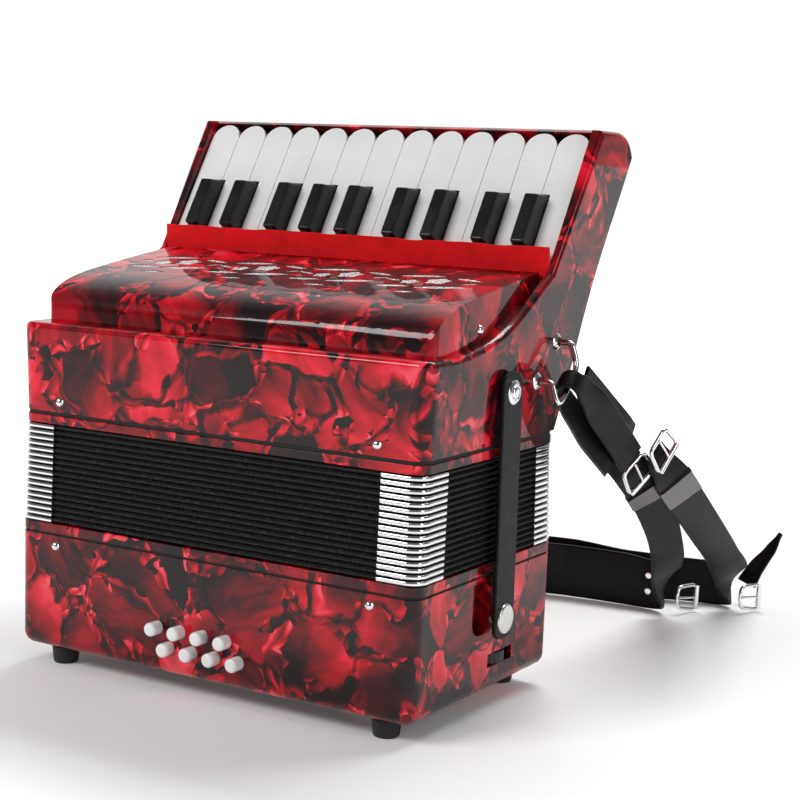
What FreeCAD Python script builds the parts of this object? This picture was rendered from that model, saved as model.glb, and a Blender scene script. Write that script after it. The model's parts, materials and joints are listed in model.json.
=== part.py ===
"""Piano accordion, 22 treble keys and 8 bass buttons, standing on its bass end.

Millimetres.  X runs along the keyboard with the low notes at +X, -Y is the front that faces the
listener, +Z is up.  The origin is on the floor plane, below the middle of the bellows.
"""
import FreeCAD, Part
import math
import os

V = FreeCAD.Vector

# ---------------------------------------------------------------- driving dimensions
TREBLE_HALF_DEPTH = 66.9     # casing half depth at the treble end of the bellows
BASS_DEEPER = 2.5            # how much more half depth the casing has at the bass end
TREBLE_FLARE = 0.042         # how much the treble ends lean out, mm per mm of height
BASS_FLARE = 0.02            # how much the bass ends draw in, mm per mm of height
BASS_DEPTH_FLARE = 0.02      # how much the bass front and back lean out going down
CORNER_R = 7.5               # upright corner radius of casings, frames and bellows
EDGE_R = 3.0                 # rounding of the treble casing's other outer edges
FOOT_HEIGHT = 10.0
FOOT_R = 7.5
FOOT_INSET = (21.0, 14.0)    # foot centre from the casing end and from its front or back
BASS_HEIGHT = 61.5
BASS_EDGE_R = 10.0           # rounding of the bass casing's bottom edges
BASS_WALL = 5.0
END_PLATE_THICK = 2.6
GASKET_BASS = 1.2
GASKET_TREBLE = 2.0
FRAME_BASS = 5.0
FRAME_TREBLE = 4.5
FRAME_COLLAR = 9.0           # how far a bellows frame reaches into its casing
FOLD_COUNT = 17
FOLD_PITCH = 3.1
FOLD_DEPTH = 19.0
FOLD_GAP = 0.3
CORNER_STRIP_LEG = 14.0      # metal corner, length along each side
CORNER_STRIP_HEIGHT = 2.1
CORNER_STRIP_PROUD = 0.5
TREBLE_WALL = 5.0
DECK_HEIGHT = 46.3           # treble casing bottom to the top of the deck under the grille
DECK_THICK = 4.0
SOUNDBOARD_THICK = 4.0
END_WALL_AT_BELLOWS = 0.3    # end plate outside the key bay's line, at the bellows
BACK_BULGE = 40.5            # casing back behind the cheek's upper end
BACK_CURVE = ((1.0, 0.915), (0.84, 0.785), (0.56, 0.563), (0.348, 0.362), (0.208, 0.204),
              (0.046, 0.044), (0.0, 0.0))  # shares of the back's overhang and of the casing's height

# keyboard: v runs up along the keys from the axle, n is the height above the axle's key plane
WHITE_COUNT = 13
WHITE_PITCH = 19.0
KEY_GAP = 0.45
KEY_LEAN = math.radians(31.58)
KEY_ROOM = 0.5               # between the end keys and the cheeks
AXLE_INSET = 13.7            # axle in front of the casing's back
AXLE_ABOVE_DECK = 22.2
AXLE_R = 1.25
AXLE_CLEARANCE = 0.06
KEY_TOP = 7.0
KEY_BOTTOM = -4.0
KEY_LENGTH = 94.6
KEY_DIP_DEG = 2.5
BLACK_TIP = 57.0
BLACK_WIDTH = 9.6
BLACK_TAPER = 2.0            # how much narrower a black key is on top
BLACK_RISE = 10.5
BLACK_START = 22.6
BLACK_SLOPES = (0.6, 5.2)    # how far its lower and upper ends lean in
BLACK_EDGE_R = 1.2
PAIR_SPREAD = 2.6            # black keys of a pair stand this far off their white key lines
TRIO_SPREAD = 4.6
HUB_R = 4.0
ARM_WIDTH = 3.2
ARM_THICK = 3.0
PALLET = (12.0, 13.0, 3.2)   # pallet width, length, height
PALLET_ROW_INSETS = (22.0, 42.0)  # rows of pallets behind the grille's front
CHEEK_PROUD = 10.5
KEY_BED_TOP = -10.3
KEY_BED_THICK = 4.0
TIP_RAIL_TOP = 8.5
RAIL_GAP = 0.7               # key tips to the rail behind them

# grille cover
GRILLE_INSET = 6.6           # each end, from the casing end
GRILLE_FRONT = 13.9          # from the casing front
GRILLE_WALL = 2.6
GRILLE_CURVE = ((0.0, 0.211), (0.035, 0.4), (0.113, 0.544), (0.233, 0.656), (0.385, 0.739),
                (0.655, 0.861), (1.0, 1.0))  # shares of the cover's depth and height
SPRAY_PITCH = 53.0
MESH_THICK = 0.7

# fittings
PIN_HEAD_R = 2.5
PIN_INSET = 26.0
BUTTON_R = 3.6
BUTTON_PROUD = 7.0
BUTTON_CLEARANCE = 0.3
BUTTON_TRAVEL = 3.0
BUTTON_PITCH = 14.5
BUTTON_ROWS = ((24.0, -28.6), (14.5, -20.6))  # height above the casing bottom, first button's x
AIR_BUTTON_R = 6.0
AIR_BUTTON_INSET = (44.0, 42.4)
WHEEL_R = 12.5
WHEEL_THICK = 5.4
WHEEL_PROUD = 1.0
SLOT_ROOM = (1.8, 0.8)       # round the wheel, along and above
SLOT_CENTRE = (15.5, 16.5)   # y, and height above the casing bottom
STRAP_WIDTH = 19.5
STRAP_THICK = 2.2
STRAP_STAND_OFF = 2.6        # bellows strap to the treble end face
STRAP_Y = 7.0
STRAP_SCREW_ABOVE = 26.0     # pivot above the treble casing bottom
STRAP_OVERHANG = 10.5        # strap beyond its pivot and snap
POCKET = (17.0, 27.0, 7.5)   # finger pocket beside the snap: width, height, depth
POCKET_Y = -6.5
SNAP_DROP = 22.5             # snap below the bass casing's top
SNAP_R = 7.5
STUD_R = 4.0
STUD_CLEARANCE = 0.35
BOSS_R = 4.4
BOSS_LENGTH = 1.8
BOSS_PLACES = ((6.2, -21.7), (-12.8, -40.5))  # bail legs from the axle, y and z
BAIL_SWING_ROOM = 0.9        # radial room of the bail's legs in their bosses
BAIL_WIRE_R = 1.6
BAIL_ELBOW = 8.5             # where the bail's legs bend, out from the end plate
BAIL_DROP = V(4.5, -1.0, -12.0)  # from the elbows to the bar's ends
BAIL_CORNER_R = 5.0
LEATHER = 2.2
TAB_WIDTH = 18.0
SHOULDER_WIDTH = 21.5
PAD_WIDTH = 33.0
BUCKLE_WIRE_R = 1.2
STRAPS_FITTED_AT = V(124.3, 66.9, 174.3)  # half length, half depth and bail height of the chosen points

# ---------------------------------------------------------------- places worked out from them
BASS_BOTTOM = FOOT_HEIGHT
BASS_TOP = BASS_BOTTOM + BASS_HEIGHT
BASS_FRAME_Z = BASS_TOP + GASKET_BASS
FOLDS_Z = BASS_FRAME_Z + FRAME_BASS
TREBLE_FRAME_Z = FOLDS_Z + FOLD_COUNT * FOLD_PITCH
TREBLE_GASKET_Z = TREBLE_FRAME_Z + FRAME_TREBLE
TREBLE_BOTTOM = TREBLE_GASKET_Z + GASKET_TREBLE
BASS_HALF_DEPTH = TREBLE_HALF_DEPTH + BASS_DEEPER
KEYS_HALF = WHITE_COUNT * WHITE_PITCH / 2
CHEEK_INNER = KEYS_HALF + KEY_ROOM
HALF_LENGTH = CHEEK_INNER + END_WALL_AT_BELLOWS
DECK_TOP = TREBLE_BOTTOM + DECK_HEIGHT
DECK_BOTTOM = DECK_TOP - DECK_THICK
AXLE_Y = TREBLE_HALF_DEPTH - AXLE_INSET
AXLE_Z = DECK_TOP + AXLE_ABOVE_DECK
ALONG = V(0, math.sin(KEY_LEAN), math.cos(KEY_LEAN))
OUT = V(0, -math.cos(KEY_LEAN), math.sin(KEY_LEAN))
AXLE = V(0, AXLE_Y, AXLE_Z)
RAIL_START = KEY_LENGTH + RAIL_GAP
CHEEK_END = AXLE + ALONG * RAIL_START + OUT * CHEEK_PROUD
CASING_TOP = CHEEK_END.z - 0.6
FRONT = -TREBLE_HALF_DEPTH
GRILLE_HALF = HALF_LENGTH + TREBLE_FLARE * DECK_HEIGHT - GRILLE_INSET
GRILLE_Y = FRONT + GRILLE_FRONT
GRILLE_DEPTH = AXLE_Y - 4.2 - GRILLE_Y
GRILLE_HEIGHT = AXLE_ABOVE_DECK + 13.8
PALLET_ROWS = [GRILLE_Y + inset for inset in PALLET_ROW_INSETS]
SNAP_Z = BASS_TOP - SNAP_DROP


def treble_half(z):
    """Half length of the treble casing at height z."""
    return HALF_LENGTH + TREBLE_FLARE * (z - TREBLE_BOTTOM)


def bass_half(z):
    """Half length of the bass casing at height z."""
    return HALF_LENGTH - BASS_FLARE * (BASS_TOP - z)


def bass_depth(z):
    """Half depth of the bass casing at height z."""
    return BASS_HALF_DEPTH + BASS_DEPTH_FLARE * (BASS_TOP - z)


def bellows_depth(z):
    """Half depth of the bellows and its frames at height z."""
    part = (z - BASS_TOP) / (TREBLE_BOTTOM - BASS_TOP)
    return BASS_HALF_DEPTH + (TREBLE_HALF_DEPTH - BASS_HALF_DEPTH) * part


def key_point(x, v, n):
    """A point given along the keys and above the key plane."""
    return AXLE + ALONG * v + OUT * n + V(x, 0, 0)


# ---------------------------------------------------------------- shape helpers
def box(x, y, z):
    """Box from three (low, high) pairs."""
    return Part.makeBox(x[1] - x[0], y[1] - y[0], z[1] - z[0], V(x[0], y[0], z[0]))


def rounded_block(half_x, half_y, z0, z1, radius):
    """Block centred on the Z axis with rounded upright corners."""
    block = box((-half_x, half_x), (-half_y, half_y), (z0, z1))
    upright = [e for e in block.Edges if abs(e.tangentAt(e.FirstParameter).z) > 0.99]
    return block.makeFillet(radius, upright)


def ring(half_x, half_y, width, z0, z1, radius=CORNER_R):
    """Rounded rectangular ring, width mm wide."""
    hole = rounded_block(half_x - width, half_y - width, z0 - 1, z1 + 1, max(radius - width, 1.5))
    return rounded_block(half_x, half_y, z0, z1, radius).cut(hole)


def hexahedron(low, high, z0, z1):
    """Block with (half x, half y) low at z0 and high at z1."""
    wedge = Part.makeWedge(-low[0], z0, -low[1], -high[1], -high[0], low[0], z1, low[1], high[1], high[0])
    wedge.rotate(V(0, 0, 0), V(1, 0, 0), 90)
    return wedge


def closed_solid(faces):
    """Solid sewn from flat faces."""
    shell = Part.makeShell(faces)
    shell.sewShape()
    if Part.makeSolid(shell).Volume < 0:
        shell.reverse()
    return Part.makeSolid(shell)


def cylinder(radius, start, direction, length):
    """Cylinder from a start point."""
    return Part.makeCylinder(radius, length, start, direction)


def dome(radius, height, base, direction):
    """Low spherical cap standing on base."""
    sphere_r = (radius ** 2 + height ** 2) / (2 * height)
    ball = Part.makeSphere(sphere_r, base - direction * (sphere_r - height))
    return ball.common(cylinder(radius, base, direction, height + 1))


def profile_yz(points, x0, x1):
    """Closed outline in the YZ plane extruded along X; a list inside is a smooth stretch."""
    edges, last, first = [], None, None
    for item in points:
        stretch = item if isinstance(item, list) else [item]
        at = [V(x0, y, z) for y, z in stretch]
        first = at[0] if first is None else first
        if last is not None and last.distanceToPoint(at[0]) > 1e-6:
            edges.append(Part.makeLine(last, at[0]))
        if len(at) > 1:
            curve = Part.BSplineCurve()
            curve.interpolate(at)
            edges.append(curve.toShape())
        last = at[-1]
    edges.append(Part.makeLine(last, first))
    return Part.Face(Part.Wire(edges)).extrude(V(x1 - x0, 0, 0))


def key_prism(outline, x0, x1):
    """Outline given in (v, n) of the keyboard, extruded along X."""
    points = [key_point(x0, v, n) for v, n in outline]
    return Part.Face(Part.makePolygon(points + points[:1])).extrude(V(x1 - x0, 0, 0))


def ribbon(stations, thickness):
    """Flat strap through (centre, across, width) stations, as a closed faceted solid."""
    rows = []
    for i, (centre, across, width) in enumerate(stations):
        ahead = stations[min(i + 1, len(stations) - 1)][0] - stations[max(i - 1, 0)][0]
        side = V(*across)
        side = (side - ahead * (side.dot(ahead) / ahead.dot(ahead))).normalize() * (width / 2)
        up = ahead.cross(side).normalize() * (thickness / 2)
        rows.append([centre - side - up, centre + side - up, centre + side + up, centre - side + up])
    faces = [Part.Face(Part.makePolygon(r + r[:1])) for r in (rows[0], rows[-1])]
    for a, b in zip(rows, rows[1:]):
        for i in range(4):
            j = (i + 1) % 4
            for loop in ((a[i], a[j], b[j]), (a[i], b[j], b[i])):
                faces.append(Part.Face(Part.makePolygon(list(loop) + [loop[0]])))
    return closed_solid(faces)


def smooth_stations(points, across, widths, per_span=4):
    """Stations along a smooth curve through the points, turning and widening evenly."""
    curve = Part.BSplineCurve()
    curve.interpolate([V(*p) for p in points])
    knots = [curve.parameter(V(*p)) for p in points]
    stations = []
    for i in range(len(points) - 1):
        for step in range(per_span + (i == len(points) - 2)):
            t = step / per_span
            a, b = V(*across[i]).normalize(), V(*across[i + 1]).normalize()
            where = curve.value(knots[i] + (knots[i + 1] - knots[i]) * t)
            stations.append((where, a + (b - a) * t, widths[i] + (widths[i + 1] - widths[i]) * t))
    return stations


def wire_loop(points, radius):
    """Round wire through straight runs, mitred with a ball at each point."""
    pieces = [Part.makeSphere(radius, p) for p in points]
    for a, b in zip(points, points[1:]):
        pieces.append(cylinder(radius, a, b - a, a.distanceToPoint(b)))
    return pieces[0].multiFuse(pieces[1:]).removeSplitter()


def mirror_x(shape):
    """Copy on the other end of the instrument."""
    return shape.mirror(V(0, 0, 0), V(1, 0, 0))


# ---------------------------------------------------------------- bass section
def button_places():
    """Centres of the eight bass buttons on the front face."""
    places = []
    for height, first in BUTTON_ROWS:
        z = BASS_BOTTOM + height
        places += [V(first + i * BUTTON_PITCH, -bass_depth(z), z) for i in range(4)]
    return places


def bass_casing():
    """Open-topped box with button holes, snap pocket, wheel slot and an opening for the end plate."""
    outer = hexahedron((bass_half(BASS_BOTTOM), bass_depth(BASS_BOTTOM)),
                       (bass_half(BASS_TOP), bass_depth(BASS_TOP)), BASS_BOTTOM, BASS_TOP)
    upright = [e for e in outer.Edges if abs(e.tangentAt(e.FirstParameter).z) > 0.9]
    outer = outer.makeFillet(CORNER_R, upright)
    bottom = [e for e in outer.Edges if e.BoundBox.ZMax < BASS_BOTTOM + 0.1]
    outer = outer.makeFillet(min(BASS_EDGE_R, CORNER_R - 0.5), bottom)
    inner = rounded_block(bass_half(BASS_BOTTOM) - BASS_WALL, BASS_HALF_DEPTH - BASS_WALL,
                          BASS_BOTTOM + BASS_WALL, BASS_TOP + 1, 4)
    casing = outer.cut(inner)
    casing = casing.fuse(pocket_block(2.0)).common(outer).cut(pocket_block(0))
    casing = casing.cut(plate_block(0.1, BASS_BOTTOM - 1, BASS_BOTTOM + END_PLATE_THICK + 0.1))
    casing = casing.cut(plate_block(-6, BASS_BOTTOM - 1, BASS_BOTTOM + BASS_WALL + 1))
    holes = [cylinder(BUTTON_R + BUTTON_CLEARANCE, p - V(0, 3, 0), V(0, 1, 0), BASS_WALL + 6)
             for p in button_places()]
    slot_z = BASS_BOTTOM + SLOT_CENTRE[1]
    inside = WHEEL_R - WHEEL_PROUD - BASS_WALL
    half_y = math.sqrt(WHEEL_R ** 2 - inside ** 2) + SLOT_ROOM[0]
    half_z = WHEEL_THICK / 2 + SLOT_ROOM[1]
    slot = box((bass_half(slot_z) - 8, bass_half(slot_z) + 3),
               (SLOT_CENTRE[0] - half_y, SLOT_CENTRE[0] + half_y), (slot_z - half_z, slot_z + half_z))
    return casing.cut(holes + [slot])


def pocket_block(wall):
    """Finger pocket beside the bellows strap, or its shell when given a wall thickness."""
    width, height, depth = POCKET
    high = BASS_TOP - 2.5
    half = width / 2 + wall
    block = box((bass_half(BASS_TOP) - depth - wall, bass_half(BASS_TOP) + 5),
                (POCKET_Y - half, POCKET_Y + half), (high - height - wall, high + wall))
    lower = [e for e in block.Edges if abs(e.tangentAt(e.FirstParameter).x) > 0.99
             and e.BoundBox.ZMax < high - height + 1]
    return block.makeFillet(width * 0.45, lower)


def plate_block(grow, z0, z1):
    """Outline of the removable end plate, grown by a margin."""
    return rounded_block(HALF_LENGTH - 30 + grow, BASS_HALF_DEPTH - 24 + grow, z0, z1, 4)


def bass_end_plate():
    """Removable plate under the bass casing with sound slots and the air button's hole."""
    plate = plate_block(0, BASS_BOTTOM, BASS_BOTTOM + END_PLATE_THICK)
    slots = []
    inset = BASS_HALF_DEPTH - 32.4
    for i in range(9):
        x = -64 + 16 * i
        for y in (-inset - 4, inset):
            slots.append(box((x - 5, x + 5), (y, y + 4), (BASS_BOTTOM - 1, BASS_BOTTOM + 5)))
    slots.append(cylinder(AIR_BUTTON_R + BUTTON_CLEARANCE, air_button_place() - V(0, 0, 5),
                          V(0, 0, 1), 20))
    return plate.cut(slots)


def air_button_place():
    """Middle of the air button on the end plate's lower face."""
    return V(HALF_LENGTH - AIR_BUTTON_INSET[0], AIR_BUTTON_INSET[1] - BASS_HALF_DEPTH, BASS_BOTTOM)


def rubber_feet():
    """Four feet, slightly coned."""
    x = bass_half(BASS_BOTTOM) - FOOT_INSET[0]
    y = bass_depth(BASS_BOTTOM) - FOOT_INSET[1]
    feet = [Part.makeCone(FOOT_R - 1, FOOT_R, FOOT_HEIGHT, V(i * x, j * y, 0))
            for i in (-1, 1) for j in (-1, 1)]
    return Part.makeCompound(feet)


def bass_soundboard():
    """Board across the bass casing that carries the reed block."""
    z = BASS_TOP - FRAME_COLLAR - 4.5
    return rounded_block(bass_half(BASS_BOTTOM) - BASS_WALL - 9, BASS_HALF_DEPTH - BASS_WALL - 0.5,
                         z, z + 4, 3.5)


def reed_assembly(half_x, y_mid, z0, z1, plates, plate_side):
    """Reed block with its plates standing on both faces."""
    block = box((-half_x, half_x), (y_mid - 9, y_mid + 9), (z0, z1))
    pitch = 2 * half_x / plates
    chambers, metal = [], []
    low, high = (z0 + 3, z1 + 1) if plate_side > 0 else (z0 - 1, z1 - 3)
    for i in range(plates):
        x = -half_x + pitch * (i + 0.5)
        for side in (-1, 1):
            chambers.append(box((x - pitch * 0.32, x + pitch * 0.32), sorted((y_mid + side * 2, y_mid + side * 7)),
                                (low, high)))
            face = y_mid + side * 9
            metal.append(box((x - pitch * 0.42, x + pitch * 0.42), sorted((face, face + side * 1.2)),
                             (z0 + 4, z1 - 4)))
    return Part.makeCompound([block.cut(chambers)] + metal)


def bass_reed_assembly():
    """Reeds of the bass side, standing on the bass soundboard."""
    z = BASS_TOP - FRAME_COLLAR - 0.5
    return reed_assembly(60, 0, z, z + 30, 6, -1)


def bellows_frame(z0, z1, collar_down):
    """Frame at one end of the bellows with a collar that fits in the casing."""
    half_y = bellows_depth((z0 + z1) / 2)
    frame = ring(HALF_LENGTH, half_y, FOLD_DEPTH, z0, z1)
    collar_x = HALF_LENGTH - 10.0
    collar_y = TREBLE_HALF_DEPTH - 7.6
    span = (z0 - FRAME_COLLAR, z0) if collar_down else (z1, z1 + FRAME_COLLAR)
    return frame.fuse(ring(collar_x, collar_y, 8, *span, radius=3)).removeSplitter()


def gasket(z0, z1):
    """Seal between a bellows frame and its casing."""
    half_y = bellows_depth((z0 + z1) / 2)
    return ring(HALF_LENGTH - 0.4, half_y - 0.4, 5.5, z0, z1)


def bellows_pins(z, half_y):
    """Domed pins through the casing front and back that hold a bellows frame."""
    pins = []
    for x in (-HALF_LENGTH + PIN_INSET, HALF_LENGTH - PIN_INSET):
        for side in (-1, 1):
            face = V(x, side * (half_y + 0.06), z)
            head = dome(PIN_HEAD_R, 1.8, face, V(0, side, 0))
            pins.append(head)
    return pins


def snap_studs():
    """Studs on the bass ends that the bellows straps snap to."""
    start = bass_half(SNAP_Z) + BASS_FLARE * STUD_R
    length = strap_inner() - STUD_CLEARANCE - start
    stud = cylinder(STUD_R, V(start, STRAP_Y, SNAP_Z), V(1, 0, 0), length)
    return [stud, mirror_x(stud)]


def bass_hardware():
    """Bellows pins and snap studs of the bass section."""
    z = BASS_TOP - FRAME_COLLAR / 2 - 1
    return Part.makeCompound(bellows_pins(z, bass_depth(z)) + snap_studs())


def hand_strap():
    """Leather hand strap that arches under the end plate between the feet."""
    half = HALF_LENGTH - 34
    z = BASS_BOTTOM
    line = [(-half, z - 1.3), (-half + 6, z - 2.4), (-half + 16, z - 6.2), (-half + 34, z - 6.9),
            (half - 34, z - 6.9), (half - 16, z - 6.2), (half - 6, z - 2.4), (half, z - 1.3)]
    stations = [(V(x, 8, height), (0, 1, 0), 46) for x, height in line]
    return ribbon(stations, STRAP_THICK)


def bass_button(place):
    """Bass button with its stem."""
    shank = BUTTON_PROUD + BASS_WALL + 1.5
    cap = cylinder(BUTTON_R, place - V(0, BUTTON_PROUD, 0), V(0, 1, 0), shank)
    tip = [e for e in cap.Edges if e.BoundBox.YMax < place.y - BUTTON_PROUD + 0.1]
    cap = cap.makeFillet(1.6, tip)
    stem = cylinder(1.2, place + V(0, BASS_WALL + 1.5 - 0.5, 0), V(0, 1, 0), 26)
    return cap.fuse(stem)


def air_button():
    """Air release button in the end plate, with its shank and valve pad."""
    place = air_button_place()
    knob = cylinder(AIR_BUTTON_R, place - V(0, 0, 5), V(0, 0, 1), 11)
    rim = [e for e in knob.Edges if e.BoundBox.ZMax < place.z - 4.9]
    return knob.makeFillet(1.5, rim)


def strap_adjuster_wheel():
    """Knurled wheel behind the slot, which tightens the hand strap."""
    z = BASS_BOTTOM + SLOT_CENTRE[1]
    centre = V(bass_half(z) + WHEEL_PROUD - WHEEL_R, SLOT_CENTRE[0], z - WHEEL_THICK / 2)
    wheel = cylinder(WHEEL_R, centre, V(0, 0, 1), WHEEL_THICK)
    notches = []
    for i in range(30):
        turn = math.radians(12 * i)
        edge = centre + V(math.cos(turn), math.sin(turn), 0) * (WHEEL_R + 0.15)
        notches.append(cylinder(0.5, edge - V(0, 0, 1), V(0, 0, 1), WHEEL_THICK + 2))
    return wheel.cut(notches)


# ---------------------------------------------------------------- bellows
def fold_heights():
    """Middle height of each fold."""
    return [FOLDS_Z + FOLD_PITCH * (i + 0.5) for i in range(FOLD_COUNT)]


def bellows_folds():
    """One closed ring for each fold of the bellows."""
    folds = []
    half = (FOLD_PITCH - FOLD_GAP) / 2
    for z in fold_heights():
        fold = rounded_block(HALF_LENGTH - 0.6, bellows_depth(z) - 0.6, z - half, z + half, CORNER_R)
        rims = [e for e in fold.Edges if abs(e.BoundBox.ZMax - e.BoundBox.ZMin) < 1e-6]
        fold = fold.makeChamfer(0.8, rims)
        folds.append(fold.cut(rounded_block(HALF_LENGTH - FOLD_DEPTH, bellows_depth(z) - FOLD_DEPTH,
                                            z - 5, z + 5, 2)))
    return Part.makeCompound(folds)


def bellows_corners():
    """Metal strips that guard the corners of each fold."""
    strips = []
    reach = CORNER_R + CORNER_STRIP_LEG
    half = CORNER_STRIP_HEIGHT / 2
    for z in fold_heights():
        y = bellows_depth(z)
        guard = ring(HALF_LENGTH + CORNER_STRIP_PROUD, y + CORNER_STRIP_PROUD,
                     CORNER_STRIP_PROUD + 0.58, z - half, z + half, CORNER_R + 0.5)
        for i in (-1, 1):
            for j in (-1, 1):
                ends = box(sorted((i * (HALF_LENGTH - reach + CORNER_R), i * (HALF_LENGTH + 5))),
                           sorted((j * (y - reach + CORNER_R), j * (y + 5))), (z - 5, z + 5))
                strips.append(guard.common(ends))
    return Part.makeCompound(strips)


# ---------------------------------------------------------------- treble section
def side_outline():
    """Outline of the treble end plates, in (y, z)."""
    back = back_line(0)
    foot = key_point(0, 10, CHEEK_PROUD)
    sweep = [(AXLE_Y - 95.4, DECK_TOP), (AXLE_Y - 64.0, DECK_TOP + 4.9), (AXLE_Y - 43.1, DECK_TOP + 12.3),
             (AXLE_Y - 22.7, DECK_TOP + 24.4), (foot.y, foot.z)]
    crown = [(CHEEK_END.y + 19, CASING_TOP + 0.2), (CHEEK_END.y + 33, CASING_TOP - 3.6), back[0]]
    return [(FRONT, TREBLE_BOTTOM), (FRONT, DECK_TOP), sweep, (CHEEK_END.y, CHEEK_END.z), crown, back]


def back_line(inside):
    """Line of the casing's back in (y, z), moved in by a wall."""
    overhang = CHEEK_END.y + BACK_BULGE - TREBLE_HALF_DEPTH
    rise = CASING_TOP - TREBLE_BOTTOM
    return [(TREBLE_HALF_DEPTH + overhang * out - inside, TREBLE_BOTTOM + rise * up)
            for out, up in BACK_CURVE]


def treble_casing():
    """Treble casing: front, deck, back and the two end plates with their cheeks."""
    reach = HALF_LENGTH + 40
    depth = CHEEK_END.y + 2 * BACK_BULGE
    top = CASING_TOP + 20
    outer = profile_yz(side_outline(), -reach, reach)
    flare = hexahedron((HALF_LENGTH, depth), (treble_half(top), depth), TREBLE_BOTTOM, top)
    outer = outer.common(flare)
    upright = [e for e in outer.Edges if abs(e.tangentAt(e.FirstParameter).z) > 0.9
               and e.BoundBox.YMax < FRONT + 0.1]
    outer = outer.makeFillet(CORNER_R, upright)
    outer = outer.makeFillet(EDGE_R, [e for e in outer.Edges if on_end_rim(e)])
    casing = outer.cut([treble_cavity(), grille_bay(), key_bay(), rail_cut(), deck_window()])
    axle_hole = cylinder(AXLE_R + AXLE_CLEARANCE, V(-CHEEK_INNER - 2, AXLE_Y, AXLE_Z), V(1, 0, 0),
                         2 * CHEEK_INNER + 4)
    return casing.cut(axle_hole)


def on_end_rim(edge):
    """Whether an edge of the solid casing runs round an end plate or along the front's top."""
    middle = edge.valueAt((edge.FirstParameter + edge.LastParameter) / 2)
    if edge.BoundBox.ZMax < TREBLE_BOTTOM + 1:
        return False
    if abs(edge.tangentAt(edge.FirstParameter).z) > 0.9 and middle.y < FRONT + CORNER_R + 0.5:
        return False
    at_end = abs(abs(middle.x) - treble_half(middle.z)) < 0.4
    return at_end or (abs(middle.z - DECK_TOP) < 0.2 and middle.y < FRONT + CORNER_R + 0.2)


def treble_cavity():
    """Hollow inside the treble casing, open towards the bellows."""
    floor = [key_point(0, v, KEY_BED_TOP - KEY_BED_THICK - 3) for v in (-4, RAIL_START - 7.3)]
    inner_back = [(floor[1].y + 10, floor[1].z)] + back_line(TREBLE_WALL + 0.2)[1:-1]
    inner_back.append((TREBLE_HALF_DEPTH - TREBLE_WALL, TREBLE_BOTTOM - 1))
    outline = [(FRONT + TREBLE_WALL, TREBLE_BOTTOM - 1), (FRONT + TREBLE_WALL, DECK_BOTTOM),
               (AXLE_Y - 8, DECK_BOTTOM), (floor[0].y, floor[0].z), (floor[1].y, floor[1].z),
               inner_back]
    half = HALF_LENGTH - TREBLE_WALL
    return profile_yz(outline, -half, half)


def grille_bay():
    """Room between the end plates for the grille cover."""
    half = GRILLE_HALF + 0.1
    return box((-half, half), (GRILLE_Y - 0.1, AXLE_Y - 1), (DECK_TOP, DECK_TOP + 80))


def key_bay():
    """Room between the cheeks for the keys and their bed."""
    low = KEY_BED_TOP - KEY_BED_THICK
    return key_prism([(-16, low), (RAIL_START, low), (RAIL_START, 60), (-16, 60)],
                     -CHEEK_INNER, CHEEK_INNER)


def rail_cut():
    """Lowers the rail behind the key tips below the cheeks."""
    return key_prism([(RAIL_START - 1, TIP_RAIL_TOP), (RAIL_START + 60, TIP_RAIL_TOP - 36),
                      (RAIL_START + 60, 60), (RAIL_START - 1, 60)], -CHEEK_INNER, CHEEK_INNER)


def deck_window():
    """Opening in the deck that shows the soundboard to the pallets."""
    return box((-GRILLE_HALF + 2, GRILLE_HALF - 2), (PALLET_ROWS[0] - 14, AXLE_Y - 10),
               (DECK_BOTTOM - 1, DECK_TOP + 1))


def key_bed():
    """Board under the keys."""
    low = KEY_BED_TOP - KEY_BED_THICK
    return key_prism([(8, low), (RAIL_START, low), (RAIL_START, KEY_BED_TOP), (8, KEY_BED_TOP)],
                     -CHEEK_INNER, CHEEK_INNER)


def key_axle():
    """Steel rod that all the keys turn on."""
    reach = CHEEK_INNER + 1.8
    return cylinder(AXLE_R, V(-reach, AXLE_Y, AXLE_Z), V(1, 0, 0), 2 * reach)


def black_centres():
    """Middle of each black key, keyed by the white key below it in x."""
    spread = {1: -PAIR_SPREAD, 2: PAIR_SPREAD, 4: -TRIO_SPREAD, 5: 0, 6: TRIO_SPREAD,
              8: -PAIR_SPREAD, 9: PAIR_SPREAD, 11: -TRIO_SPREAD, 12: 0}
    return {i: (i - WHITE_COUNT / 2) * WHITE_PITCH + off for i, off in spread.items()}


def key_places():
    """All keys in order along X: (is white, left, right, tail left, tail right)."""
    black = black_centres()
    half = BLACK_WIDTH / 2
    places = []
    for i in range(1, WHITE_COUNT + 1):
        left = (i - 1 - WHITE_COUNT / 2) * WHITE_PITCH + KEY_GAP / 2
        right = left + WHITE_PITCH - KEY_GAP
        tail_left = black[i - 1] + half + KEY_GAP if i - 1 in black else left
        tail_right = black[i] - half - KEY_GAP if i in black else right
        places.append((True, left, right, tail_left, tail_right))
        if i in black:
            places.append((False, black[i] - half, black[i] + half, black[i] - half, black[i] + half))
    return places


def lever_x(place):
    """Where a key's lever runs, kept clear of the grille's end walls."""
    tail_left, tail_right = place[3:]
    limit = GRILLE_HALF - GRILLE_WALL - ARM_WIDTH
    inside = max(-limit, min(limit, (tail_left + tail_right) / 2))
    return max(tail_left + ARM_WIDTH / 2, min(tail_right - ARM_WIDTH / 2, inside))


def pallet_x(place):
    """Middle of a key's pallet, inside the deck window."""
    limit = GRILLE_HALF - 3 - PALLET[0] / 2
    return max(-limit, min(limit, lever_x(place)))


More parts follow.
